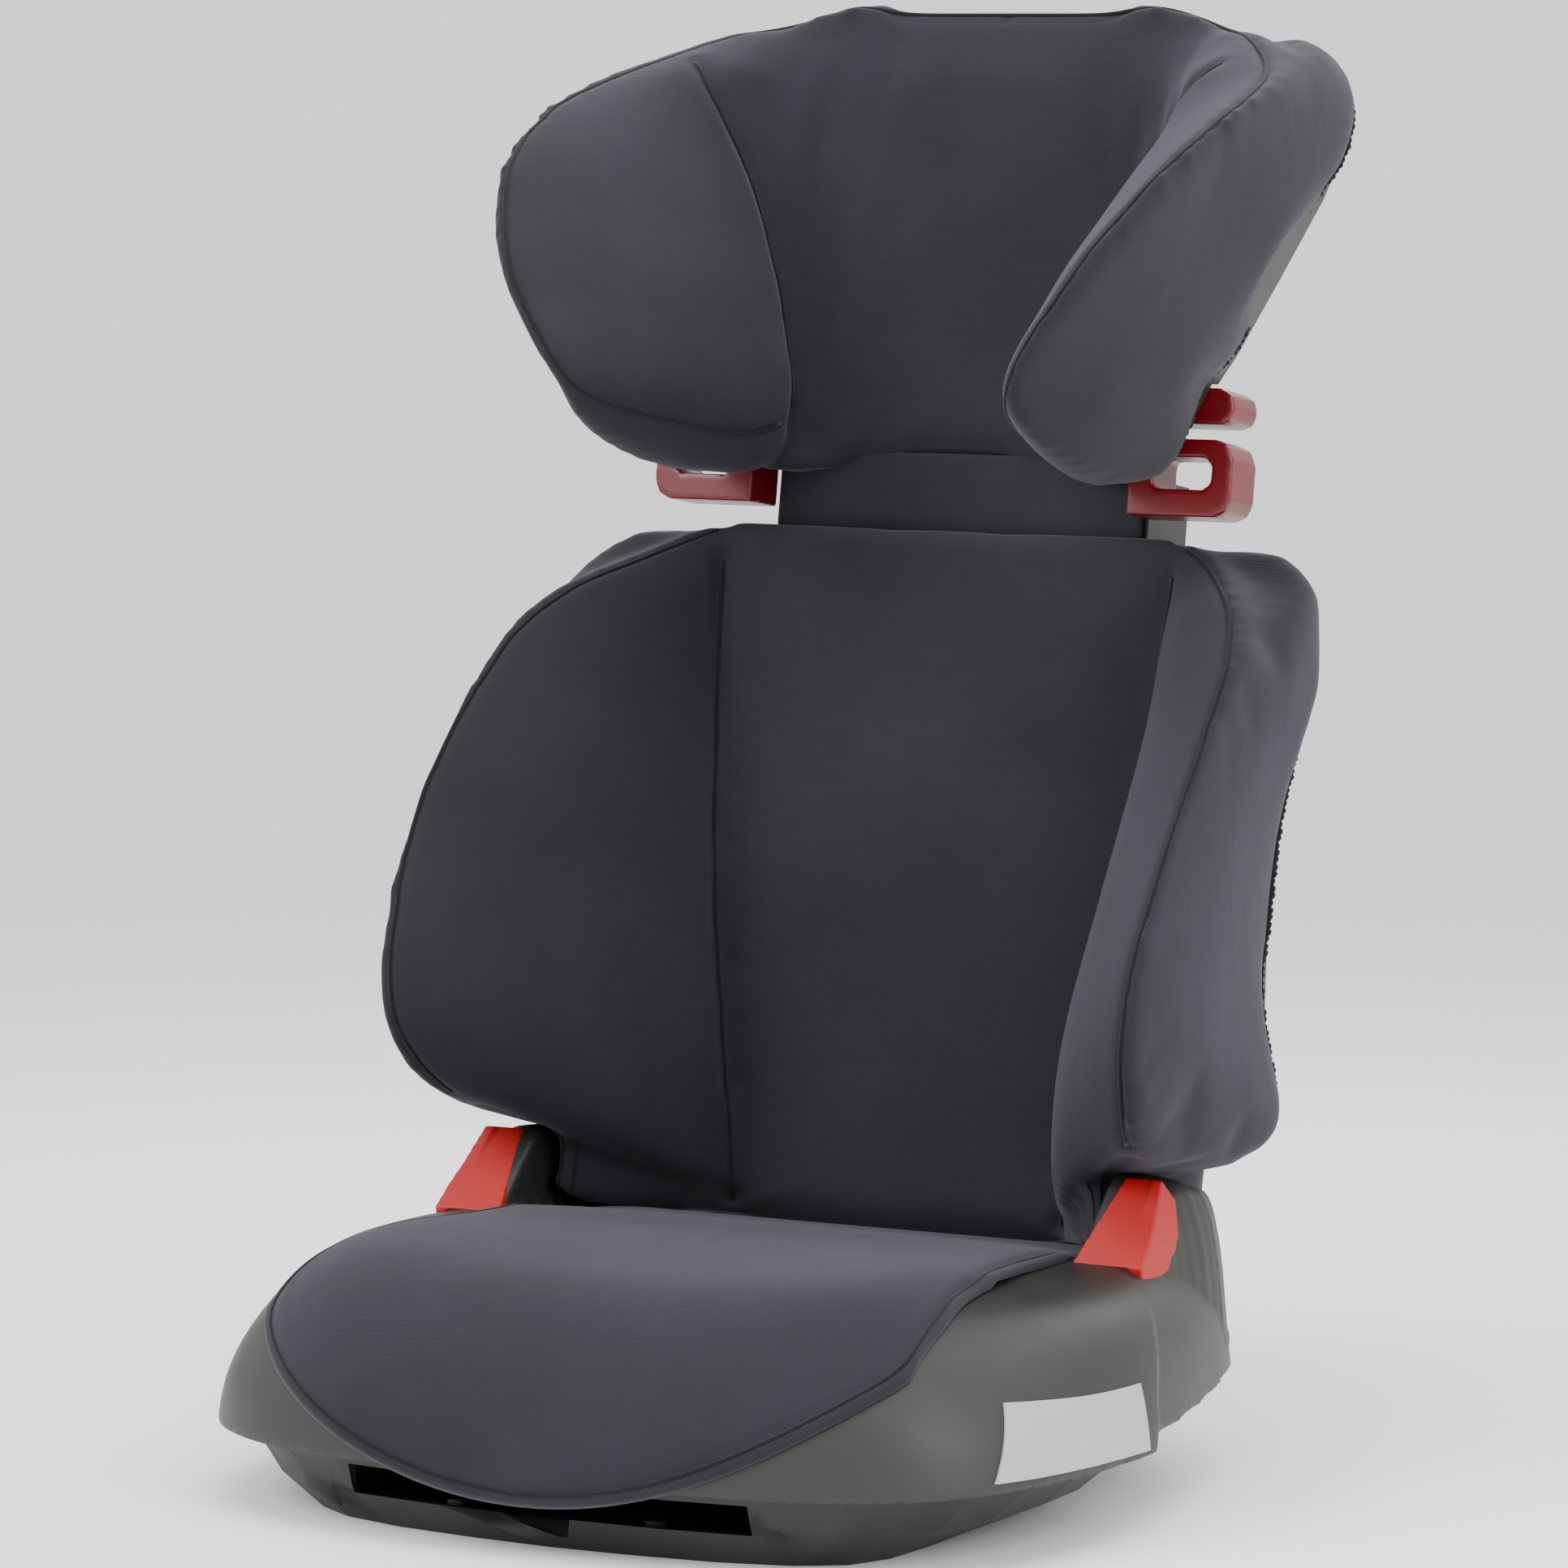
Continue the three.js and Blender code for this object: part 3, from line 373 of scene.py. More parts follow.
def wing_ring(root, tip, side, back, heights, bulge=0.1):
    """One closed ring round a wing: inner face, front edge, outer side and rear."""
    h_root, h_tip, h_side = heights
    run = np.subtract(tip, root)
    out = np.array([run[1], -run[0]]) * bulge
    keys = [(*root, h_root)]
    for t in (0.22, 0.5, 0.8):
        lift = math.sin(math.pi * min(t * 1.05, 1)) ** 0.8
        x, n = np.add(root, run * t) + out * lift
        keys.append((x, n, mixed(h_root, h_tip, t)))
    keys += [
        (*tip, h_tip),
        (min(tip[0] + 5, side[0]), tip[1] - 4, h_tip),
        (min(tip[0] + 10, side[0]), tip[1] + 8, mixed(h_tip, h_side, 0.2)),
        (side[0] + 0.5, mixed(tip[1], side[1], 0.35), mixed(h_tip, h_side, 0.5)),
        (side[0] + 1.5, mixed(tip[1], side[1], 0.7), h_side),
        (side[0] - 1, side[1], h_side),
        (side[0] - 7, side[1] + 1, h_side),
        (mixed(side[0], back[0], 0.5), mixed(side[1] - 8, back[1] - 2, 0.5), h_side),
        (*back, h_root),
    ]
    return smooth_line(keys, RING, closed=True)


def torso_wing(side):
    rings = []
    for t in np.linspace(0, 1, 46):
        heights = mixed(46, 363, t), mixed(80, 365, t), mixed(80, 363, t)
        root = cubic(TORSO_ROOT, [heights[0]])[0]
        tip = cubic(TORSO_TIP, [heights[1]])[0]
        outer = cubic(TORSO_SIDE, [heights[2]])[0]
        back = cubic(TORSO_BACK, [heights[0]])[0]
        rings.append(wing_ring(root, tip, outer, back, heights) * [side, 1, 1])
    return loft("wing", back_to_world(rings))


def torso_gusset(side):
    keys = [(84, -22), (100, -45), (122, -76), (136, -97), (142.5, -104), (143, -90), (143, 2), (101, 26)]
    outline = smooth_line([(x, n, 0) for x, n in keys], 40, closed=True)
    rings = []
    for t in (0, 0.12, 0.3, 0.6, 1):
        ring = outline.copy()
        low = mixed(39.5 + (ring[:, 1] + 27) * 0.02, 29.0, step(ring[:, 1], -26, -16))
        ring[:, 2] = mixed(low, 90, t)
        middle = ring.mean(0)
        shrink = 1 - 0.05 * (t == 0)
        ring[:, :2] = middle[:2] + (ring[:, :2] - middle[:2]) * shrink
        rings.append(ring * [side, 1, 1])
    return loft("gusset", back_to_world(rings))


def slab(name, heights, half, front, rear, crown, curl=0.0):
    """Padded centre panel: its front crowned between the roots of the wings."""
    rings = []
    for h in heights:
        w, f, r = half(h), front(h), rear(h)
        x = np.linspace(-w, w, 25)
        edge = np.abs(x / w)
        n = f - crown * (1 - edge**2) + curl * edge**4
        face = [(a, b, h) for a, b in zip(x, n)]
        behind = [(a, r, h) for a in np.linspace(w, -w, 13)]
        rings.append(face + behind)
    return loft(name, back_to_world(rings))


def build_torso():
    root = back_to_world([(x, n, s) for s, x, n in TORSO_ROOT[:-1]])
    tip = back_to_world([(x, n, s) for s, x, n in TORSO_TIP[1:]])
    fold = back_to_world([(87, -27, 47), (105, -52, 56), (128, -84, 66), (150, -112, 74), (166, -131, 79)])
    fold = smooth_line(fold, 24)
    root, tip = smooth_line(root, 60), smooth_line(tip, 80)
    centre = slab(
        "centre", [26, 28.5, 45, 60, 100, 160, 220, 280, 330, 360, 369, 373.5],
        lambda h: float(cubic(TORSO_ROOT, [h])[0][0]) + 2 - 3 * (h > 372) - 5 * (h < 44),
        lambda h: -26.0 + 2.5 * (h > 372) + 2.5 * step(-h, -44, -26), lambda h: -19.4, 3.5)
    pieces = [centre] + [f(s) for s in (1, -1) for f in (torso_wing, torso_gusset)]
    seams = [line * [s, 1, 1] for line in (root, tip, fold) for s in (1, -1)]
    cuts = [(root * [s, 1, 1], 3.2, 4.5) for s in (1, -1)]
    cuts += [(tip * [s, 1, 1], 1.6, 2.6) for s in (1, -1)]
    cuts += [(fold * [s, 1, 1], 2.0, 5.0) for s in (1, -1)]
    body = puffed("backrest_upholstery", pieces, seams, 4.6, 7, grooves=cuts)
    return body, root, tip, fold


# Headrest wing by height: root, front seam, outer side and its rear edge, and the back's inner end.
HEAD_ROWS = [
    (385, 94, -60, 111, -118, 119, -74, 98, -62),
    (390, 90, -46, 112, -152, 124, -58, 96, -50),
    (399, 87, -38, 111, -184, 128, -49, 95, -46),
    (412, 84, -35, 110, -203, 133, -46, 95, -45),
    (425, 83, -35, 117, -211, 138, -46, 95, -45),
    (438, 83, -36, 125, -213, 143, -44, 96, -42),
    (450, 85, -38, 133, -213, 149, -32, 98, -8),
    (474, 89, -40, 146, -208, 158, -27, 99, 10),
    (498, 96, -43, 158, -193, 167, -24, 99, 14),
    (523, 103, -47, 168, -171, 175, -12, 99, 15),
    (548, 112, -57, 174, -135, 180, 2, 100, 15),
    (565, 119, -64, 173, -100, 181, 9, 101, 15),
    (577, 127, -66, 167, -72, 180, 12, 102, 15),
    (590, 134, -52, 152, -46, 174, 15, 104, 15),
    (600, 127, -31, 139, -29, 166, 15, 104, 15),
    (607, 117, -17, 126, -17, 155, 13, 104, 14),
]
HEAD_TIP = [
    (0, -4.5, 616), (50, -5, 616), (62, -6, 618.5), (70, -7, 620.5), (84, -6, 621), (99, -2, 616.5),
    (121, -13, 609), (147, -39, 595), (167, -72, 577), (174, -110, 561), (174, -135, 548),
    (172, -155, 535), (168, -171, 523), (163, -184, 511), (158, -193, 498), (152, -201, 486),
    (146, -208, 474), (140, -212, 461), (132, -213, 449), (124, -213, 437), (116, -211, 424),
    (108, -203, 411), (97, -180, 403), (86, -148, 400), (80, -112, 401), (79, -78, 405), (82, -52, 413),
]
HEAD_ROOT = [
    (137, -62, 588), (130, -66, 581), (124, -67, 573), (119, -65, 565), (114, -62, 556),
    (107, -52, 535), (100, -45, 512), (94, -42, 490), (88, -40, 469), (84, -37, 447),
    (82, -35, 427), (85, -35, 414), (93, -36, 406),
]


def head_wing(side):
    rings = []
    for h in np.concatenate([np.linspace(385, 450, 16), np.linspace(456, 607, 30)]):
        rx, rn, tx, tn, ox, rear, ix, inn = cubic(HEAD_ROWS, [h])[0]
        rings.append(wing_ring((rx, rn), (tx, tn), (ox, rear), (ix, inn), (h, h, h)) * [side, 1, 1])
    return loft("wing", back_to_world(rings))


def build_head():
    table = [row[:3] for row in HEAD_ROWS]
    top = [(600, 122), (605, 121), (610, 113), (614, 103), (617.5, 92), (620, 80), (621.5, 68)]
    rings = []
    for h in [390.5, 393, 404, 420, 445, 470, 500, 530, 560, 580, 600, 605, 610, 614, 617.5, 620, 621.5]:
        rx, rn = cubic(table, [min(h, 600)])[0]
        f = float(mixed(-15, -8, step(h, 390, 600)))
        inset = {390.5: 2.0, 620: 1.0, 621.5: 3.5}.get(h, 0)
        low = float(step(-h, -450, -400))
        w = min(rx + 3 + 7 * low, 122) if h < 600 else float(cubic(top, [h])[0][0])
        w -= inset
        x = np.linspace(-w, w, 41)
        edge = np.abs(x / w)
        n = f + inset + (rn - 4 * low - f) * np.clip(edge, 0, 1) ** 4.5 * (0.95 if h < 604 else 0.3)
        behind = [(a, 20.5 - inset, h) for a in np.linspace(w, -w, 21)]
        rings.append([(a, b, h) for a, b in zip(x, n)] + behind)
    centre = loft("centre", back_to_world(rings))
    tip = smooth_line(back_to_world(HEAD_TIP), 130)
    root = smooth_line(back_to_world(HEAD_ROOT), 60)
    seams = [line * [s, 1, 1] for line in (root, tip) for s in (1, -1)]
    cuts = [(root * [s, 1, 1], 3.0, 4.5) for s in (1, -1)]
    cuts += [(tip * [s, 1, 1], 1.6, 2.6) for s in (1, -1)]
    body = puffed("headrest_upholstery", [centre, head_wing(1), head_wing(-1)], seams, 4.6, 6, grooves=cuts)
    points = world_to_back(coords(body))
    dip = (1 - step(np.abs(points[:, 0]), 54, 70)) * step(points[:, 2], 604, 618)
    points[:, 2] -= 4.5 * dip
    set_coords(body, back_to_world(points))
    return body, root, tip


# ------------------------------------------------------------------ seat cushion
BASE_OUTLINE = [
    (0, -186), (55, -184.5), (103, -180), (138, -170), (163, -156), (183, -137), (199, -107),
    (209, -70), (214, -30), (215, 10), (210, 60), (201, 105), (188, 143), (170, 170), (143, 190),
    (100, 198), (0, 200),
]
FRONT_ROLL = [(0, 36), (3.5, 53), (10, 67.5), (20, 81.5), (32, 93), (46, 102.5), (66, 109)]
SIDE_ROLL = [(0, 36), (2.5, 60), (7, 77), (14.5, 90), (24, 98.5), (36, 103.2), (56, 104.5)]
SEAT_REAR = 157
ROLL_SAMPLES = 60
FLAT_SAMPLES = 40
HEM_BORDER = 26
SEAM_FROM_HEM = 7.5


def seat_top(x, y):
    """Height of the seat, which dips in the middle and falls towards the back."""
    top = mixed(110, 104.5, step(y, -80, 60)) - 4 * np.maximum(0, 1 - (x / 130) ** 2)
    fall = np.interp(y, [46, 84, 160, 300], [107, 95.6, 88.5, 88.5])
    return np.where((y > 40) & (np.abs(x) < 147), np.minimum(top, fall), top)


def seat_hem(x, y):
    """True inside the cover's lower edge, seen from above, with the height of its front edge."""
    limit = np.interp(y, [-230, -100, -49, 5, 40, 158], [160, 160, 154, 146.2, 145, 145])
    return limit, 22.5 + 58 * (x / 160) ** 2


def base_outline(columns):
    """Points round the base, seen from above, with the way inwards at each."""
    keys = [(x, y, 0) for x, y in BASE_OUTLINE] + [(-x, y, 0) for x, y in BASE_OUTLINE[-2:0:-1]]
    outline = smooth_line(keys, columns, closed=True)[:, :2]
    along = np.roll(outline, -1, 0) - np.roll(outline, 1, 0)
    along /= np.linalg.norm(along, axis=1, keepdims=True)
    return outline, np.stack([-along[:, 1], along[:, 0]], 1)


def seat_section(start, inward):
    """One line over the seat, from the foot of its side to the middle."""
    t = float(step(start[1], -120, 0))
    curve = [(*start, 8.0)]
    for a, b in zip(FRONT_ROLL, SIDE_ROLL):
        inset, z = mixed(np.array(a), np.array(b), t)
        curve.append((*(start + inward * inset), z))
    curve = list(smooth_line(curve, ROLL_SAMPLES))
    last = curve[-1]
    for s in np.linspace(1, 0, FLAT_SAMPLES)[1:]:
        curve.append(np.array([last[0] * s, mixed(-5, last[1], s), 0]))
    curve = np.array(curve)
    top = seat_top(curve[:, 0], curve[:, 1])
    on_roll = np.arange(len(curve)) < ROLL_SAMPLES
    lowered = np.where(curve[:, 2] < 88, curve[:, 2], np.minimum(curve[:, 2], top))
    curve[:, 2] = np.where(on_roll, lowered, top)
    return curve


def under_cover(point):
    """Whether the seat cover reaches this point of the seat, or an array of such answers."""
    limit, floor = seat_hem(point[..., 0], point[..., 1])
    return (np.abs(point[..., 0]) < limit) & (point[..., 1] < SEAT_REAR) & (point[..., 2] > floor)


def trimmed(curve):
    """The part of a section inside the hem, which is found by halving."""
    inside = under_cover(curve)
    first = int(np.argmax(inside))
    while not inside[first:].all():
        first += 1 if inside[first] else 1 + int(np.argmax(inside[first + 1:]))
        if first >= len(curve) - 2:
            break
    if first == 0:
        return curve
    out, within = curve[first - 1], curve[first]
    for _ in range(18):
        middle = (out + within) / 2
        if under_cover(middle):
            within = middle
        else:
            out = middle
    return np.vstack([within, curve[first:]])


def seat_surface(columns=168, rows=44):
    """Grid over the covered seat, with each point's distance from the hem."""
    outline, inward = base_outline(columns)
    grid = []
    for p, q in zip(outline, inward):
        curve = trimmed(seat_section(p, q))
        run = np.concatenate([[0], np.cumsum(np.linalg.norm(np.diff(curve, axis=0), axis=1))])
        border = min(HEM_BORDER, run[-1] * 0.3)
        want = np.concatenate([np.linspace(0, border, 13)[:-1], np.linspace(border, run[-1], rows - 12)])
        grid.append([np.stack([np.interp(want, run, curve[:, k]) for k in range(3)], 1), want])
    points = np.array([g[0] for g in grid])
    depth = np.array([g[1] for g in grid])
    ease = 0.5 * step(depth[:, 1:-1], 6, 18)[..., None]
    for _ in range(30):
        along = (points[:, :-2] + points[:, 2:]) / 2
        round_about = (np.roll(points, 1, 0) + np.roll(points, -1, 0))[:, 1:-1] / 2
        points[:, 1:-1] += ease * ((along + round_about) / 2 - points[:, 1:-1])
    return points, depth


def build_seat():
    """The seat cover as a skin over its foam, with the line of its seam."""
    points, depth = seat_surface()
    columns, rows = points.shape[:2]
    verts = points.reshape(-1, 3)
    faces = []
    for j in range(columns):
        for r in range(rows - 2):
            a, b = j * rows + r, ((j + 1) % columns) * rows + r
            faces.append((a, b, b + 1, a + 1))
    centre = len(verts)
    for j in range(columns):
        faces.append((j * rows + rows - 2, ((j + 1) % columns) * rows + rows - 2, centre))
    verts = np.vstack([verts, points[:, -1].mean(0)[None]])
    keep = np.concatenate([depth.ravel(), [200.0]])
    obj = mesh_object("seat_upholstery", verts * MM, faces)
    outward(obj)
    up = normals(obj)
    if up[centre][2] < 0:
        bm = bmesh.new()
        bm.from_mesh(obj.data)
        bmesh.ops.reverse_faces(bm, faces=bm.faces)
        bm.to_mesh(obj.data)
        bm.free()
    up = normals(obj)
    puff = 2.9 + 4.6 * (1 - np.exp(-np.maximum(keep, 0) / 16.0))
    puff -= 1.6 * np.exp(-((keep - SEAM_FROM_HEM) / 1.8) ** 2)
    puff -= 1.8 * np.exp(-((keep) / 2.0) ** 2)
    rear = step(verts[:, 1], 120, 155)
    puff = mixed(puff, np.minimum(puff, 3.2), rear)
    co = verts * MM + up * (puff * MM)[:, None]
    set_coords(obj, co)
    row = int(np.argmin(np.abs(depth[0] - SEAM_FROM_HEM)))
    at = np.arange(columns) * rows + row
    seam = co[at] + up[at] * 3 * MM
    bm = bmesh.new()
    bm.from_mesh(obj.data)
    bmesh.ops.delete(bm, geom=[v for v in bm.verts if not v.link_faces], context="VERTS")
    bm.to_mesh(obj.data)
    bm.free()
    solid = obj.modifiers.new("solid", "SOLIDIFY")
    solid.thickness = 2.2 * MM
    solid.offset = -1
    apply_all(obj)
    for p in obj.data.polygons:
        p.use_smooth = True
    return obj, seam


# ------------------------------------------------------------------ materials
def material(name, color, roughness, metallic=0.0):
    """A plain material, with its node tree and its shader."""
    m = bpy.data.materials.new(name)
    m.use_nodes = True
    tree = m.node_tree
    shader = tree.nodes["Principled BSDF"]
    shader.inputs["Base Color"].default_value = (*color, 1)
    shader.inputs["Roughness"].default_value = roughness
    shader.inputs["Metallic"].default_value = metallic
    return m, tree, shader


def add(tree, kind, **values):
    """A new node with some of its inputs or settings given."""
    node = tree.nodes.new(kind)
    for key, value in values.items():
        if key in node.inputs:
            node.inputs[key].default_value = value
        else:
            setattr(node, key, value)
    return node


def linear(r, g, b):
    """A display colour, 0 to 255, as linear light."""
    values = [c / 255 for c in (r, g, b)]
    return tuple(v / 12.92 if v < 0.0405 else ((v + 0.055) / 1.055) ** 2.4 for v in values)


def coordinates(tree, scale=(1, 1, 1)):
    """The object's own coordinates, stretched by scale."""
    place = tree.nodes.new("ShaderNodeTexCoord")
    mapping = add(tree, "ShaderNodeMapping")
    mapping.inputs["Scale"].default_value = scale
    tree.links.new(place.outputs["Object"], mapping.inputs["Vector"])
    return mapping.outputs["Vector"]


def vary(tree, shader, vector, scale, dark, light):
    """Cloudy change of colour between dark and light."""
    noise = add(tree, "ShaderNodeTexNoise", Scale=scale, Detail=4, Roughness=0.6)
    tree.links.new(vector, noise.inputs["Vector"])
    ramp = tree.nodes.new("ShaderNodeValToRGB")
    ramp.color_ramp.elements[0].position = 0.3
    ramp.color_ramp.elements[1].position = 0.72
    ramp.color_ramp.elements[0].color = (*dark, 1)
    ramp.color_ramp.elements[1].color = (*light, 1)
    tree.links.new(noise.outputs["Fac"], ramp.inputs["Fac"])
    tree.links.new(ramp.outputs["Color"], shader.inputs["Base Color"])


THREADS_PER_BAND = 6.3


def fabric(name, dark, light, weave=0.00085, strength=0.16):
    """Knitted cover cloth: crossing threads, soft mottling and a fine nap."""
    m, tree, shader = material(name, light, 0.92)
    shader.inputs["Sheen Weight"].default_value = 0.14
    shader.inputs["Sheen Roughness"].default_value = 0.45
    shader.inputs["Sheen Tint"].default_value = (0.75, 0.75, 0.9, 1)
    shader.inputs["Specular IOR Level"].default_value = 0.25
    vary(tree, shader, coordinates(tree), 9.0, dark, light)
    bands = []
    for axis in ("X", "Z", "Y"):
        wave = add(tree, "ShaderNodeTexWave", wave_type="BANDS", bands_direction=axis)
        wave.inputs["Scale"].default_value = 1 / (THREADS_PER_BAND * weave)
        wave.inputs["Distortion"].default_value = 0.6
        wave.inputs["Detail"].default_value = 1.0
        tree.links.new(coordinates(tree), wave.inputs["Vector"])
        bands.append(wave)
    mixer = add(tree, "ShaderNodeMath", operation="MULTIPLY")
    tree.links.new(bands[0].outputs["Fac"], mixer.inputs[0])
    tree.links.new(bands[1].outputs["Fac"], mixer.inputs[1])
    more = add(tree, "ShaderNodeMath", operation="ADD")
    tree.links.new(mixer.outputs[0], more.inputs[0])
    tree.links.new(bands[2].outputs["Fac"], more.inputs[1])
    bump = add(tree, "ShaderNodeBump", Strength=strength, Distance=0.00035)
    tree.links.new(more.outputs[0], bump.inputs["Height"])
    wrinkle = add(tree, "ShaderNodeTexNoise", Scale=22.0, Detail=3.0, Roughness=0.5)
    tree.links.new(coordinates(tree, scale=(1, 1, 0.55)), wrinkle.inputs["Vector"])
    soft = add(tree, "ShaderNodeBump", Strength=0.35, Distance=0.0022)
    tree.links.new(wrinkle.outputs["Fac"], soft.inputs["Height"])
    tree.links.new(soft.outputs["Normal"], bump.inputs["Normal"])
    tree.links.new(bump.outputs["Normal"], shader.inputs["Normal"])
    return m


def moulded(name, dark, light, roughness, grain=0.12, scale=1400.0, coat=0.0):
    """Moulded plastic: fine spark-eroded grain, slightly uneven gloss."""
    m, tree, shader = material(name, light, roughness)
    vary(tree, shader, coordinates(tree), 6.0, dark, light)
    shader.inputs["Coat Weight"].default_value = coat
    shader.inputs["Coat Roughness"].default_value = 0.15
    fine = add(tree, "ShaderNodeTexNoise", Scale=scale, Detail=2.0, Roughness=0.7)
    tree.links.new(coordinates(tree), fine.inputs["Vector"])
    bump = add(tree, "ShaderNodeBump", Strength=grain, Distance=0.0002)
    tree.links.new(fine.outputs["Fac"], bump.inputs["Height"])
    tree.links.new(bump.outputs["Normal"], shader.inputs["Normal"])
    rough = add(tree, "ShaderNodeTexNoise", Scale=35.0, Detail=3.0)
    tree.links.new(coordinates(tree), rough.inputs["Vector"])
    span = add(tree, "ShaderNodeMapRange")
    span.inputs["To Min"].default_value = roughness - 0.05
    span.inputs["To Max"].default_value = roughness + 0.07
    tree.links.new(rough.outputs["Fac"], span.inputs["Value"])
    tree.links.new(span.outputs["Result"], shader.inputs["Roughness"])
    return m


CLOTH = fabric("anthracite_knit", linear(31, 29, 35), linear(39, 37, 44))
TRIM = fabric("dark_trim", linear(14, 14, 19), linear(20, 20, 26), strength=0.2)
PLASTIC = moulded("grey_moulding", linear(27, 28, 26), linear(33, 34, 32), 0.5)
TRAY = moulded("dark_moulding", linear(26, 27, 26), linear(32, 33, 31), 0.54)
BLACK = moulded("black_moulding", linear(22, 22, 23), linear(32, 32, 33), 0.45)
LAP_RED = moulded("bright_red_moulding", linear(158, 0, 0), linear(174, 1, 0), 0.55, grain=0.05)
SHOULDER_RED = moulded("dark_red_moulding", linear(92, 0, 7), linear(114, 1, 12), 0.34, grain=0.03, coat=0.1)
LABEL = moulded("blank_label", linear(162, 162, 162), linear(168, 168, 168), 0.45, grain=0.02)
RUBBER = moulded("rubber", linear(20, 20, 20), linear(28, 28, 28), 0.8, grain=0.2, scale=900)
FOAM = moulded("foam", linear(196, 194, 188), linear(206, 204, 198), 0.9, grain=0.3, scale=700)
STEEL, steel_tree, steel_shader = material("zinc_steel", linear(170, 171, 174), 0.3, 1.0)
brushed = add(steel_tree, "ShaderNodeTexNoise", Scale=300.0, Detail=3.0)
steel_tree.links.new(coordinates(steel_tree, scale=(0.1, 1, 1)), brushed.inputs["Vector"])
steel_bump = add(steel_tree, "ShaderNodeBump", Strength=0.1, Distance=0.0002)
steel_tree.links.new(brushed.outputs["Fac"], steel_bump.inputs["Height"])
steel_tree.links.new(steel_bump.outputs["Normal"], steel_shader.inputs["Normal"])

BY_SLOT = {
    "fabric": CLOTH, "foam": FOAM, "grey_plastic": PLASTIC, "dark_grey_plastic": TRAY,
    "black_plastic": BLACK, "bright_red": LAP_RED, "dark_red": SHOULDER_RED, "plate_grey": LABEL,
    "steel": STEEL, "rubber": RUBBER,
}


def paint(obj, mat):
    obj.data.materials.clear()
    obj.data.materials.append(mat)


for entry in frame["record"]["subparts"]:
    paint(NODES[entry["node"]], BY_SLOT[entry["material_slot"]])

# ------------------------------------------------------------------ soft pieces
torso, torso_root, torso_tip, torso_fold = build_torso()
head, head_root, head_tip = build_head()
seat, seat_seam = build_seat()


def soft(obj, body, fill, *nodes):
    """Paints a stuffed piece with the cloth, hangs it on its body and hides the CAD nodes it stands for."""
    paint(obj, CLOTH)
    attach(obj, body)
    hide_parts(*nodes)


soft(torso, "backrest", 0.7, "backrest_cover", "backrest_foam_centre",
     "backrest_wing_foam_left", "backrest_wing_foam_right")
soft(head, "headrest", 0.7, "headrest_cover", "headrest_foam_centre",
     "headrest_wing_foam_left", "headrest_wing_foam_right")
soft(seat, "base", 0.6, "seat_cover")


def trim(name, line, radius, body, host, lift, closed=False):
    """Sewn seam laid on the surface of a soft piece."""
    cord = tube(name, surface_line(host, line, lift), radius, closed=closed)
    paint(cord, TRIM)
    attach(cord, body)
    return cord


for side, word in ((1, "left"), (-1, "right")):
    flip = np.array([side, 1, 1])
    trim(f"torso_root_seam_{word}", torso_root * flip, 1.1, "backrest", torso, -0.2)
    trim(f"torso_edge_seam_{word}", torso_tip * flip, 1.1, "backrest", torso, 0.1)
    trim(f"head_root_seam_{word}", head_root * flip, 1.1, "headrest", head, -0.2)
for side, word in ((1, "left"), (-1, "right")):
    for k, (x, n) in enumerate(((139.5, -101), (134, -96.5))):
        line = smooth_line([(x, n, 41), (x, n, 55), (x, n, 70), (x, n, 82)], 24)
        trim(f"gusset_seam_{k + 1}_{word}", back_to_world(line) * [side, 1, 1], 0.7, "backrest", torso, 0.0)
head_edge = np.vstack([(head_tip * [-1, 1, 1])[::-1], head_tip[1:]])
trim("head_edge_seam", head_edge, 1.1, "headrest", head, 0.1)
trim("seat_edge_seam", seat_seam, 1.1, "base", seat, 0.0, closed=True)

# Lower edge of the headrest cover, in front of the neck.
neck = slab("neck_tongue", [365, 366.5, 372, 380, 390, 400, 404], lambda h: 96.5 - 1.5 * (h < 366),
            lambda h: -17.8 + 1.0 * (h < 366), lambda h: -15.2, 0.6)
refine(neck)
paint(neck, CLOTH)
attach(neck, "headrest")

# ------------------------------------------------------------------ moulded base
HUMP_ALONG = [
    (40, 88), (44, 92), (54, 103), (70, 119), (84, 132), (90, 137), (96, 138), (105, 136.5), (122, 128),
    (150, 123), (160, 118), (168, 110), (175, 96), (179, 80), (181, 60),
]
HUMP_ACROSS = [
    (148, 142), (156, 141.5), (165, 140.5), (176, 136), (186, 127), (194, 114), (200, 96), (204, 74),
    (208, 40),
]
STEP_LINE = [(0, 2), (40, 2), (60, 6), (80, 17), (96, 34), (112, 52), (200, 70)]


def base_edge(y):
    """Height of the shell's lower edge, which rises behind the step."""
    return np.interp(y, [1, 3, 24, 84, 122, 230], [33.2, 39.5, 41, 45, 47, 48])


def roll_curve(point, inward, samples):
    """Section of the shell's side, set back behind the step line."""
    t = float(step(point[1], -120, 0))
    curve = [(*point, 30.0)]
    for a, b in zip(FRONT_ROLL, SIDE_ROLL):
        inset, z = mixed(a[0], b[0], t), mixed(a[1], b[1], t)
        curve.append((*(point + inward * inset), z))
    curve = smooth_line(curve, samples)
    line = np.interp(curve[:, 2], *zip(*STEP_LINE))
    behind = 1 / (1 + np.exp(-(curve[:, 1] - line) / 0.35))
    curve[:, :2] += inward * (3.0 * behind)[:, None]
    return curve


OUTLINE_POINTS = 420


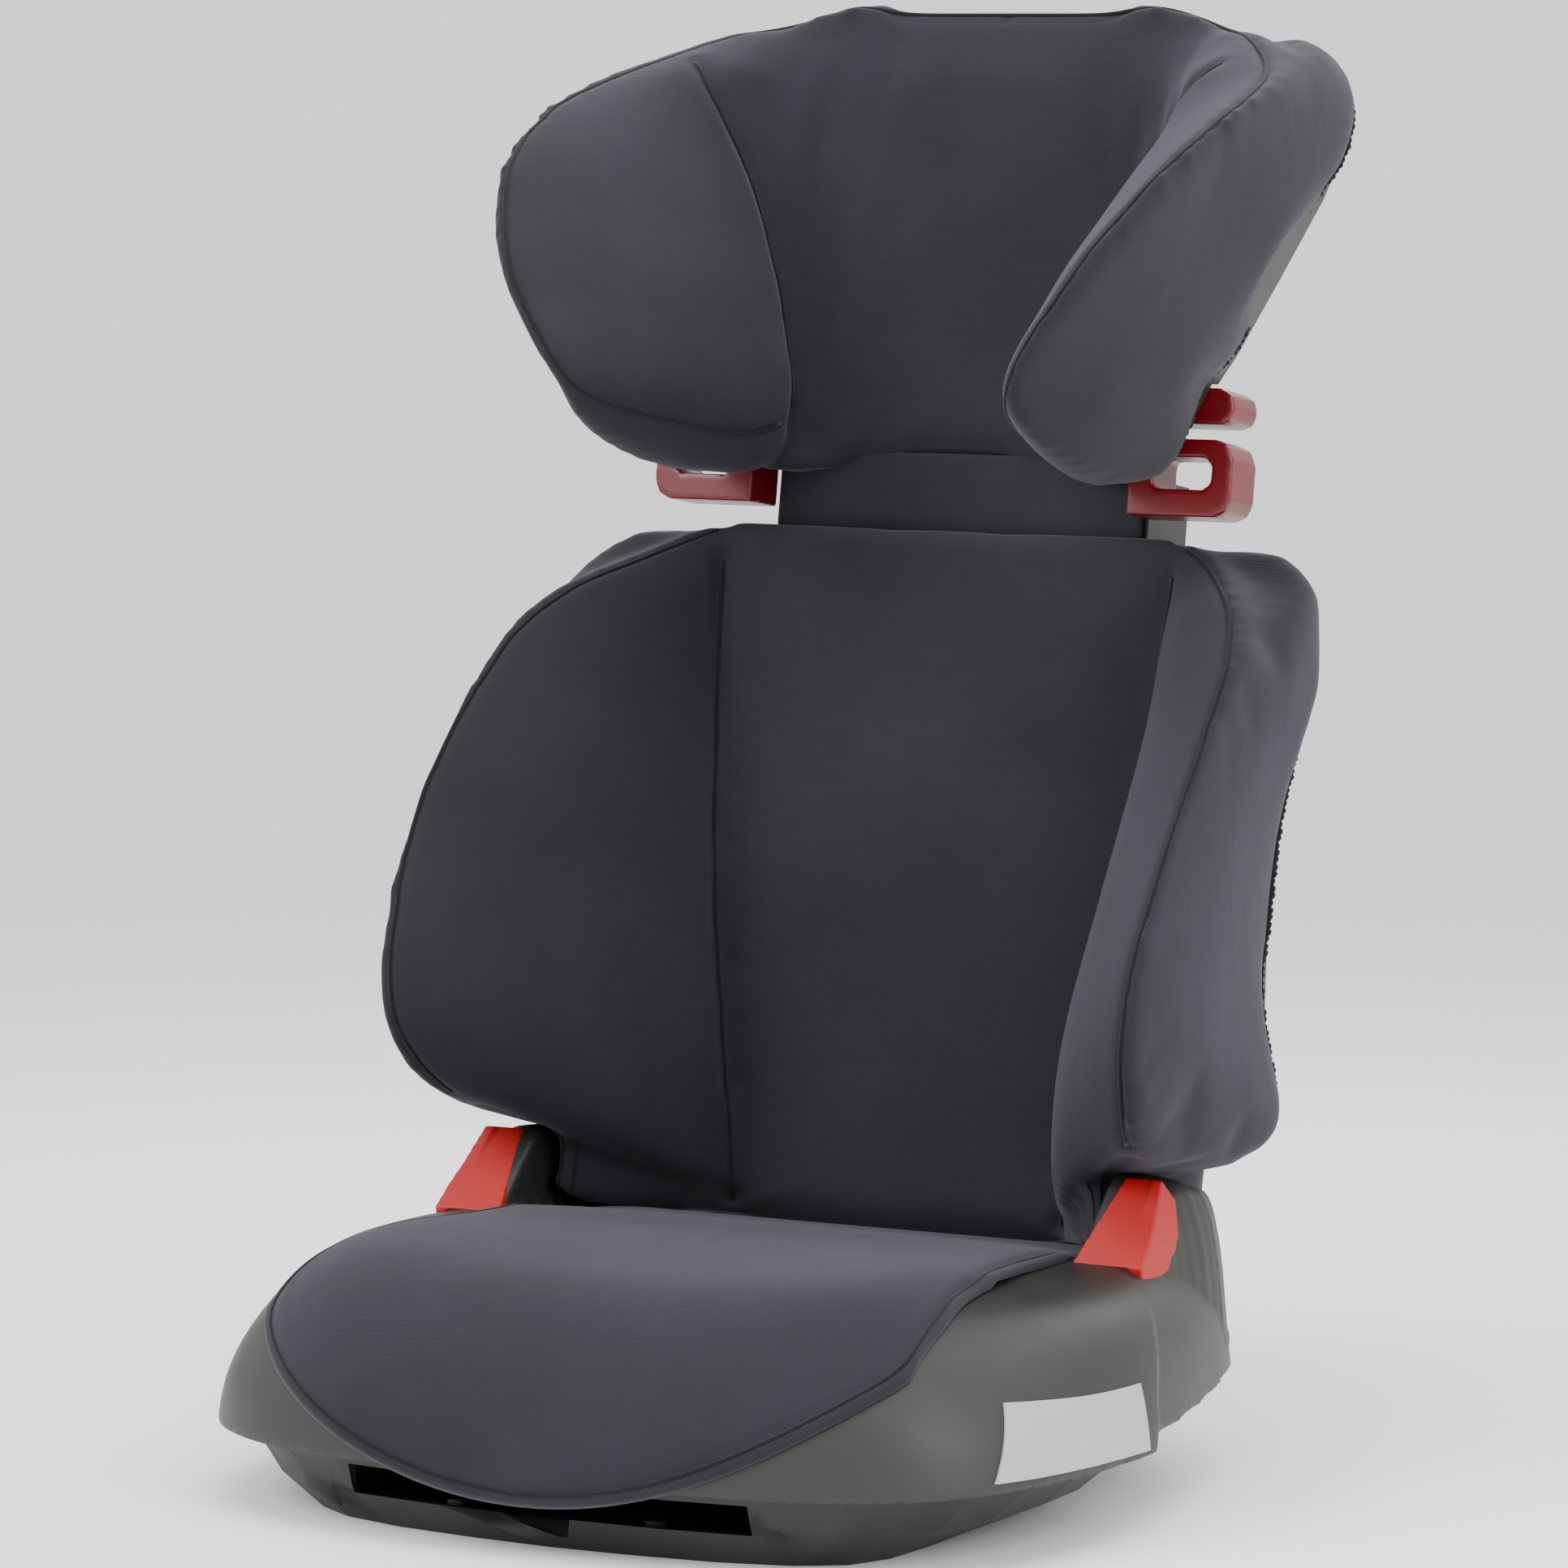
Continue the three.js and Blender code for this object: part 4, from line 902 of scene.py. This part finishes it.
def dome_form(samples=34):
    """The shell's side and top as one closed form."""
    outline, inward = base_outline(OUTLINE_POINTS)
    curves = np.array([roll_curve(p, q, samples) for p, q in zip(outline, inward)])
    low = base_edge(curves[:, 0, 1])
    curves[:, :, 2] = np.maximum(curves[:, :, 2], low[:, None] + np.linspace(0, 1, samples) * 2)
    curves[:, :, 2] = np.minimum(curves[:, :, 2], seat_top(curves[:, :, 0], curves[:, :, 1]))
    rings = [curves[:, k] for k in range(samples)]
    last = rings[-1]
    for scale in (0.8, 0.55, 0.3):
        ring = last.copy()
        ring[:, 0] *= scale
        ring[:, 1] = mixed(-5, ring[:, 1], scale)
        ring[:, 2] = seat_top(ring[:, 0], ring[:, 1])
        rings.append(ring)
    return loft("dome", np.array(rings) * MM)


def hump_form(side):
    """The raised armrest behind a lap belt guide."""
    outline, _ = base_outline(OUTLINE_POINTS)
    right = outline[outline[:, 0] > 0]
    rings = []
    for y in np.linspace(42, 181, 60):
        shift = np.interp(y, [42, 54, 70, 88, 110, 125], [21, 20, 18, 13, 4, 0])
        limit = min(207.0, right[np.argmin(np.abs(right[:, 1] - y)), 0] - 5.0)
        x = np.linspace(148.5, limit - shift * 0.9, 28)
        along = np.interp(y, *zip(*HUMP_ALONG))
        outer = np.maximum(x + shift, 208 - (limit - x - shift * 0.9) / 0.6)
        across = np.interp(outer, *zip(*HUMP_ACROSS))
        top = -4.0 * np.log(np.exp(-across / 4.0) + np.exp(-along / 4.0)) + 2.5
        top = np.maximum(top, 60)
        rings.append([(148.5, y, 58)] + [(a, y, z) for a, z in zip(x, top)] + [(limit, y, 58)])
    return loft("hump", np.array(rings) * [side * MM, MM, MM])


def difference(obj, x, y, z):
    """Cuts a box, given by its spans in mm, out of the object."""
    corners = [(a, b, c) for a in x for b in y for c in z]
    faces = [(0, 1, 3, 2), (4, 6, 7, 5), (0, 4, 5, 1), (2, 3, 7, 6), (0, 2, 6, 4), (1, 5, 7, 3)]
    tool = mesh_object("tool", np.array(corners) * MM, faces)
    outward(tool)
    m = obj.modifiers.new("cut", "BOOLEAN")
    m.operation = "DIFFERENCE"
    m.solver = "EXACT"
    m.object = tool
    apply_all(obj)
    bpy.data.objects.remove(tool)


def smooth_by_angle(obj, degrees):
    for p in obj.data.polygons:
        p.use_smooth = True
    obj.data.set_sharp_from_angle(angle=math.radians(degrees))


def build_base():
    obj = join("base_moulding", [dome_form(), hump_form(1), hump_form(-1)])
    remesh(obj, 2.0, 3)
    difference(obj, (-146.5, 146.5), (158.5, 260), (-10, 260))
    smooth_by_angle(obj, 50)
    return obj


BODY_OF = {n: b for b, nodes in frame["record"]["behaviour"]["bodies"].items() for n in nodes}
SLOT_OF = {e["node"]: e["material_slot"] for e in frame["record"]["subparts"]}


def dressed(node, bevel=0.0, angle=32, keep=None):
    """A copy of a CAD node with softened edges and smooth shading, shown in its place."""
    obj = bpy.data.objects.new(f"{node}_finish", NODES[node].data.copy())
    bpy.context.scene.collection.objects.link(obj)
    bm = bmesh.new()
    bm.from_mesh(obj.data)
    bmesh.ops.remove_doubles(bm, verts=bm.verts, dist=0.02 * MM)
    if keep is not None:
        gone = [f for f in bm.faces if not keep(world_to_back(np.array(f.calc_center_median())))]
        bmesh.ops.delete(bm, geom=gone, context="FACES")
    bm.to_mesh(obj.data)
    bm.free()
    if bevel:
        m = obj.modifiers.new("bevel", "BEVEL")
        m.width = bevel * MM
        m.segments = 3
        m.limit_method = "ANGLE"
        m.angle_limit = math.radians(38)
        apply_all(obj)
    smooth_by_angle(obj, angle)
    return finish_piece(obj, BODY_OF[node], BY_SLOT[SLOT_OF[node]], SLOT_OF[node], node)


def finish_piece(obj, body, mat, slot, *nodes):
    paint(obj, mat)
    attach(obj, body)
    if nodes:
        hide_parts(*nodes)
    return obj


def rounded(node, voxel, smooth):
    """A moulded copy of a CAD node, its edges rounded off all round."""
    obj = bpy.data.objects.new(f"{node}_moulding", NODES[node].data.copy())
    bpy.context.scene.collection.objects.link(obj)
    remesh(obj, voxel, smooth)
    for p in obj.data.polygons:
        p.use_smooth = True
    return finish_piece(obj, BODY_OF[node], BY_SLOT[SLOT_OF[node]], SLOT_OF[node], node)


base = build_base()
finish_piece(base, "base", PLASTIC, "grey_plastic", "base_shell")
dressed("base_tray", 0.0, 30)
for word in ("left", "right"):
    rounded(f"lap_guide_{word}", 0.9, 3)
    rounded(f"shoulder_guide_{word}", 1.0, 8)
dressed("headrest_mast", 0.8)
dressed("adjuster_handle", 0.8)
dressed("support_panel", 0.5)
dressed("headrest_shell", 0.0, 38, lambda c: c[1] > -62 - 30 * (c[2] < 450))
dressed("backrest_shell", 0.0, 38, lambda c: c[1] > (-66 if 95 < c[2] < 262 else -40 if c[2] < 318 else -26))
for word in ("left", "right"):
    dressed(f"guide_rail_{word}", 0.4)


def side_label():
    """Blank label on the side of the base, laid on its surface."""
    tree = BVHTree.FromObject(base, bpy.context.evaluated_depsgraph_get())
    corners = [(-119, 38.5), (-11, 36.5), (-13.5, 66), (-102, 70)]
    verts, rows, columns = [], 12, 34
    for layer in (1.0, -0.4):
        for v in np.linspace(0, 1, rows):
            for u in np.linspace(0, 1, columns):
                a = mixed(np.array(corners[0]), np.array(corners[1]), u)
                b = mixed(np.array(corners[3]), np.array(corners[2]), u)
                y, z = mixed(a, b, v)
                z -= 1.0 * math.sin(math.pi * u) * v
                hit, normal, _, _ = tree.ray_cast(Vector((0.4, y * MM, z * MM)), Vector((-1, 0, 0)))
                verts.append(np.array(hit + normal * layer * MM))
    faces = []
    for layer in range(2):
        for r in range(rows - 1):
            for c in range(columns - 1):
                k = layer * rows * columns + r * columns + c
                faces.append((k, k + 1, k + columns + 1, k + columns))
    rim = list(range(columns)) + [r * columns + columns - 1 for r in range(1, rows)]
    rim += [(rows - 1) * columns + c for c in range(columns - 2, -1, -1)]
    rim += [r * columns for r in range(rows - 2, 0, -1)]
    for k, a in enumerate(rim):
        b = rim[(k + 1) % len(rim)]
        faces.append((a, b, b + rows * columns, a + rows * columns))
    obj = mesh_object("side_label", verts, faces)
    outward(obj)
    smooth_by_angle(obj, 40)
    return obj


finish_piece(side_label(), "base", LABEL, "plate_grey", "side_plate")


def gathered_hem(name, line, host, body):
    """Elastic hem with small gathers, along the rear edge of a cover."""
    fine = smooth_line(line, 260)
    fine = surface_line(host, fine, 0.4)
    run = np.arange(len(fine)) * 1.0
    ends = np.sin(np.linspace(0, math.pi, len(fine))) ** 0.3
    radius = (1.5 + 0.35 * np.sin(run * 1.3) + 0.3 * np.sin(run * 0.47 + 1.0)) * ends + 0.2
    wave = fine.copy()
    wave[:, 1] += (0.35 * np.sin(run * 1.3 + 0.8) + 0.4 * np.sin(run * 0.31)) * MM
    cord = tube(name, wave, radius, sides=10)
    return finish_piece(cord, body, TRIM, "fabric")


torso_hem = [(x - 3.0, n + 1.5, h) for h, x, n in TORSO_SIDE if 110 <= h <= 277]
head_hem = [(ox - 2.0, rear + 1.0, h) for h, _, _, _, _, ox, rear, _, _ in HEAD_ROWS if 399 <= h <= 577]
for side, word in ((1, "left"), (-1, "right")):
    flip = np.array([side, 1, 1])
    gathered_hem(f"torso_hem_{word}", back_to_world(torso_hem) * flip, torso, "backrest")
    gathered_hem(f"head_hem_{word}", back_to_world(head_hem) * flip, head, "headrest")

# ------------------------------------------------------------------ floor, light and camera
def stage_mesh(name, verts, faces, mat):
    """A surface of the set, which is not part of the object."""
    obj = mesh_object(name, verts, faces)
    paint(obj, mat)
    return obj


PAPER, paper_tree, paper_shader = material("paper", (0.93, 0.93, 0.93), 0.95)
glow = add(paper_tree, "ShaderNodeEmission", Strength=1.3)
glow.inputs["Color"].default_value = (1, 1, 1, 1)
fade = paper_tree.nodes.new("ShaderNodeMixShader")
centre = add(paper_tree, "ShaderNodeTexCoord")
length = add(paper_tree, "ShaderNodeVectorMath", operation="LENGTH")
paper_tree.links.new(centre.outputs["Object"], length.inputs[0])
spread = add(paper_tree, "ShaderNodeMapRange", interpolation_type="SMOOTHSTEP")
spread.inputs["From Min"].default_value = 0.55
spread.inputs["From Max"].default_value = 2.2
paper_tree.links.new(length.outputs["Value"], spread.inputs["Value"])
paper_tree.links.new(spread.outputs["Result"], fade.inputs[0])
paper_tree.links.new(paper_shader.outputs[0], fade.inputs[1])
paper_tree.links.new(glow.outputs[0], fade.inputs[2])
paper_tree.links.new(fade.outputs[0], paper_tree.nodes["Material Output"].inputs["Surface"])
ring = [(14 * math.cos(a), 14 * math.sin(a), 0) for a in np.linspace(0, 2 * math.pi, 65)[:-1]]
stage_mesh("floor", ring, [tuple(range(64))], PAPER)


def softbox(name, place, target, size, power):
    lamp = bpy.data.lights.new(name, "AREA")
    lamp.shape = "RECTANGLE"
    lamp.size, lamp.size_y = size
    lamp.energy = power
    obj = bpy.data.objects.new(name, lamp)
    bpy.context.scene.collection.objects.link(obj)
    obj.location = place
    obj.rotation_euler = (Vector(target) - Vector(place)).to_track_quat("-Z", "Y").to_euler()


softbox("key", (-1.7, -2.0, 2.2), (0, 0, 0.3), (1.6, 1.6), 70)
softbox("right", (2.6, -0.6, 1.5), (0, 0.1, 0.3), (1.4, 1.8), 50)
softbox("top", (0.2, -0.2, 2.8), (0, 0.1, 0.3), (2.0, 2.0), 45)
softbox("rear", (0.5, 2.4, 2.2), (0, 0.1, 0.3), (1.6, 1.2), 35)
world = bpy.data.worlds.new("studio")
world.use_nodes = True
world.node_tree.nodes["Background"].inputs["Color"].default_value = (1, 1, 1, 1)
world.node_tree.nodes["Background"].inputs["Strength"].default_value = 1.3
bpy.context.scene.world = world

camera = bpy.data.objects.new("camera", bpy.data.cameras.new("camera"))
bpy.context.scene.collection.objects.link(camera)
target = Vector((0, 0.055, 0.3112))
az, el, far = math.radians(28), math.radians(6), 3.309
camera.location = target + far * Vector(
    (math.sin(az) * math.cos(el), -math.cos(az) * math.cos(el), math.sin(el)))
camera.rotation_euler = (target - camera.location).to_track_quat("-Z", "Y").to_euler()
camera.data.sensor_width = 36
camera.data.lens = 167.7
bpy.context.scene.camera = camera
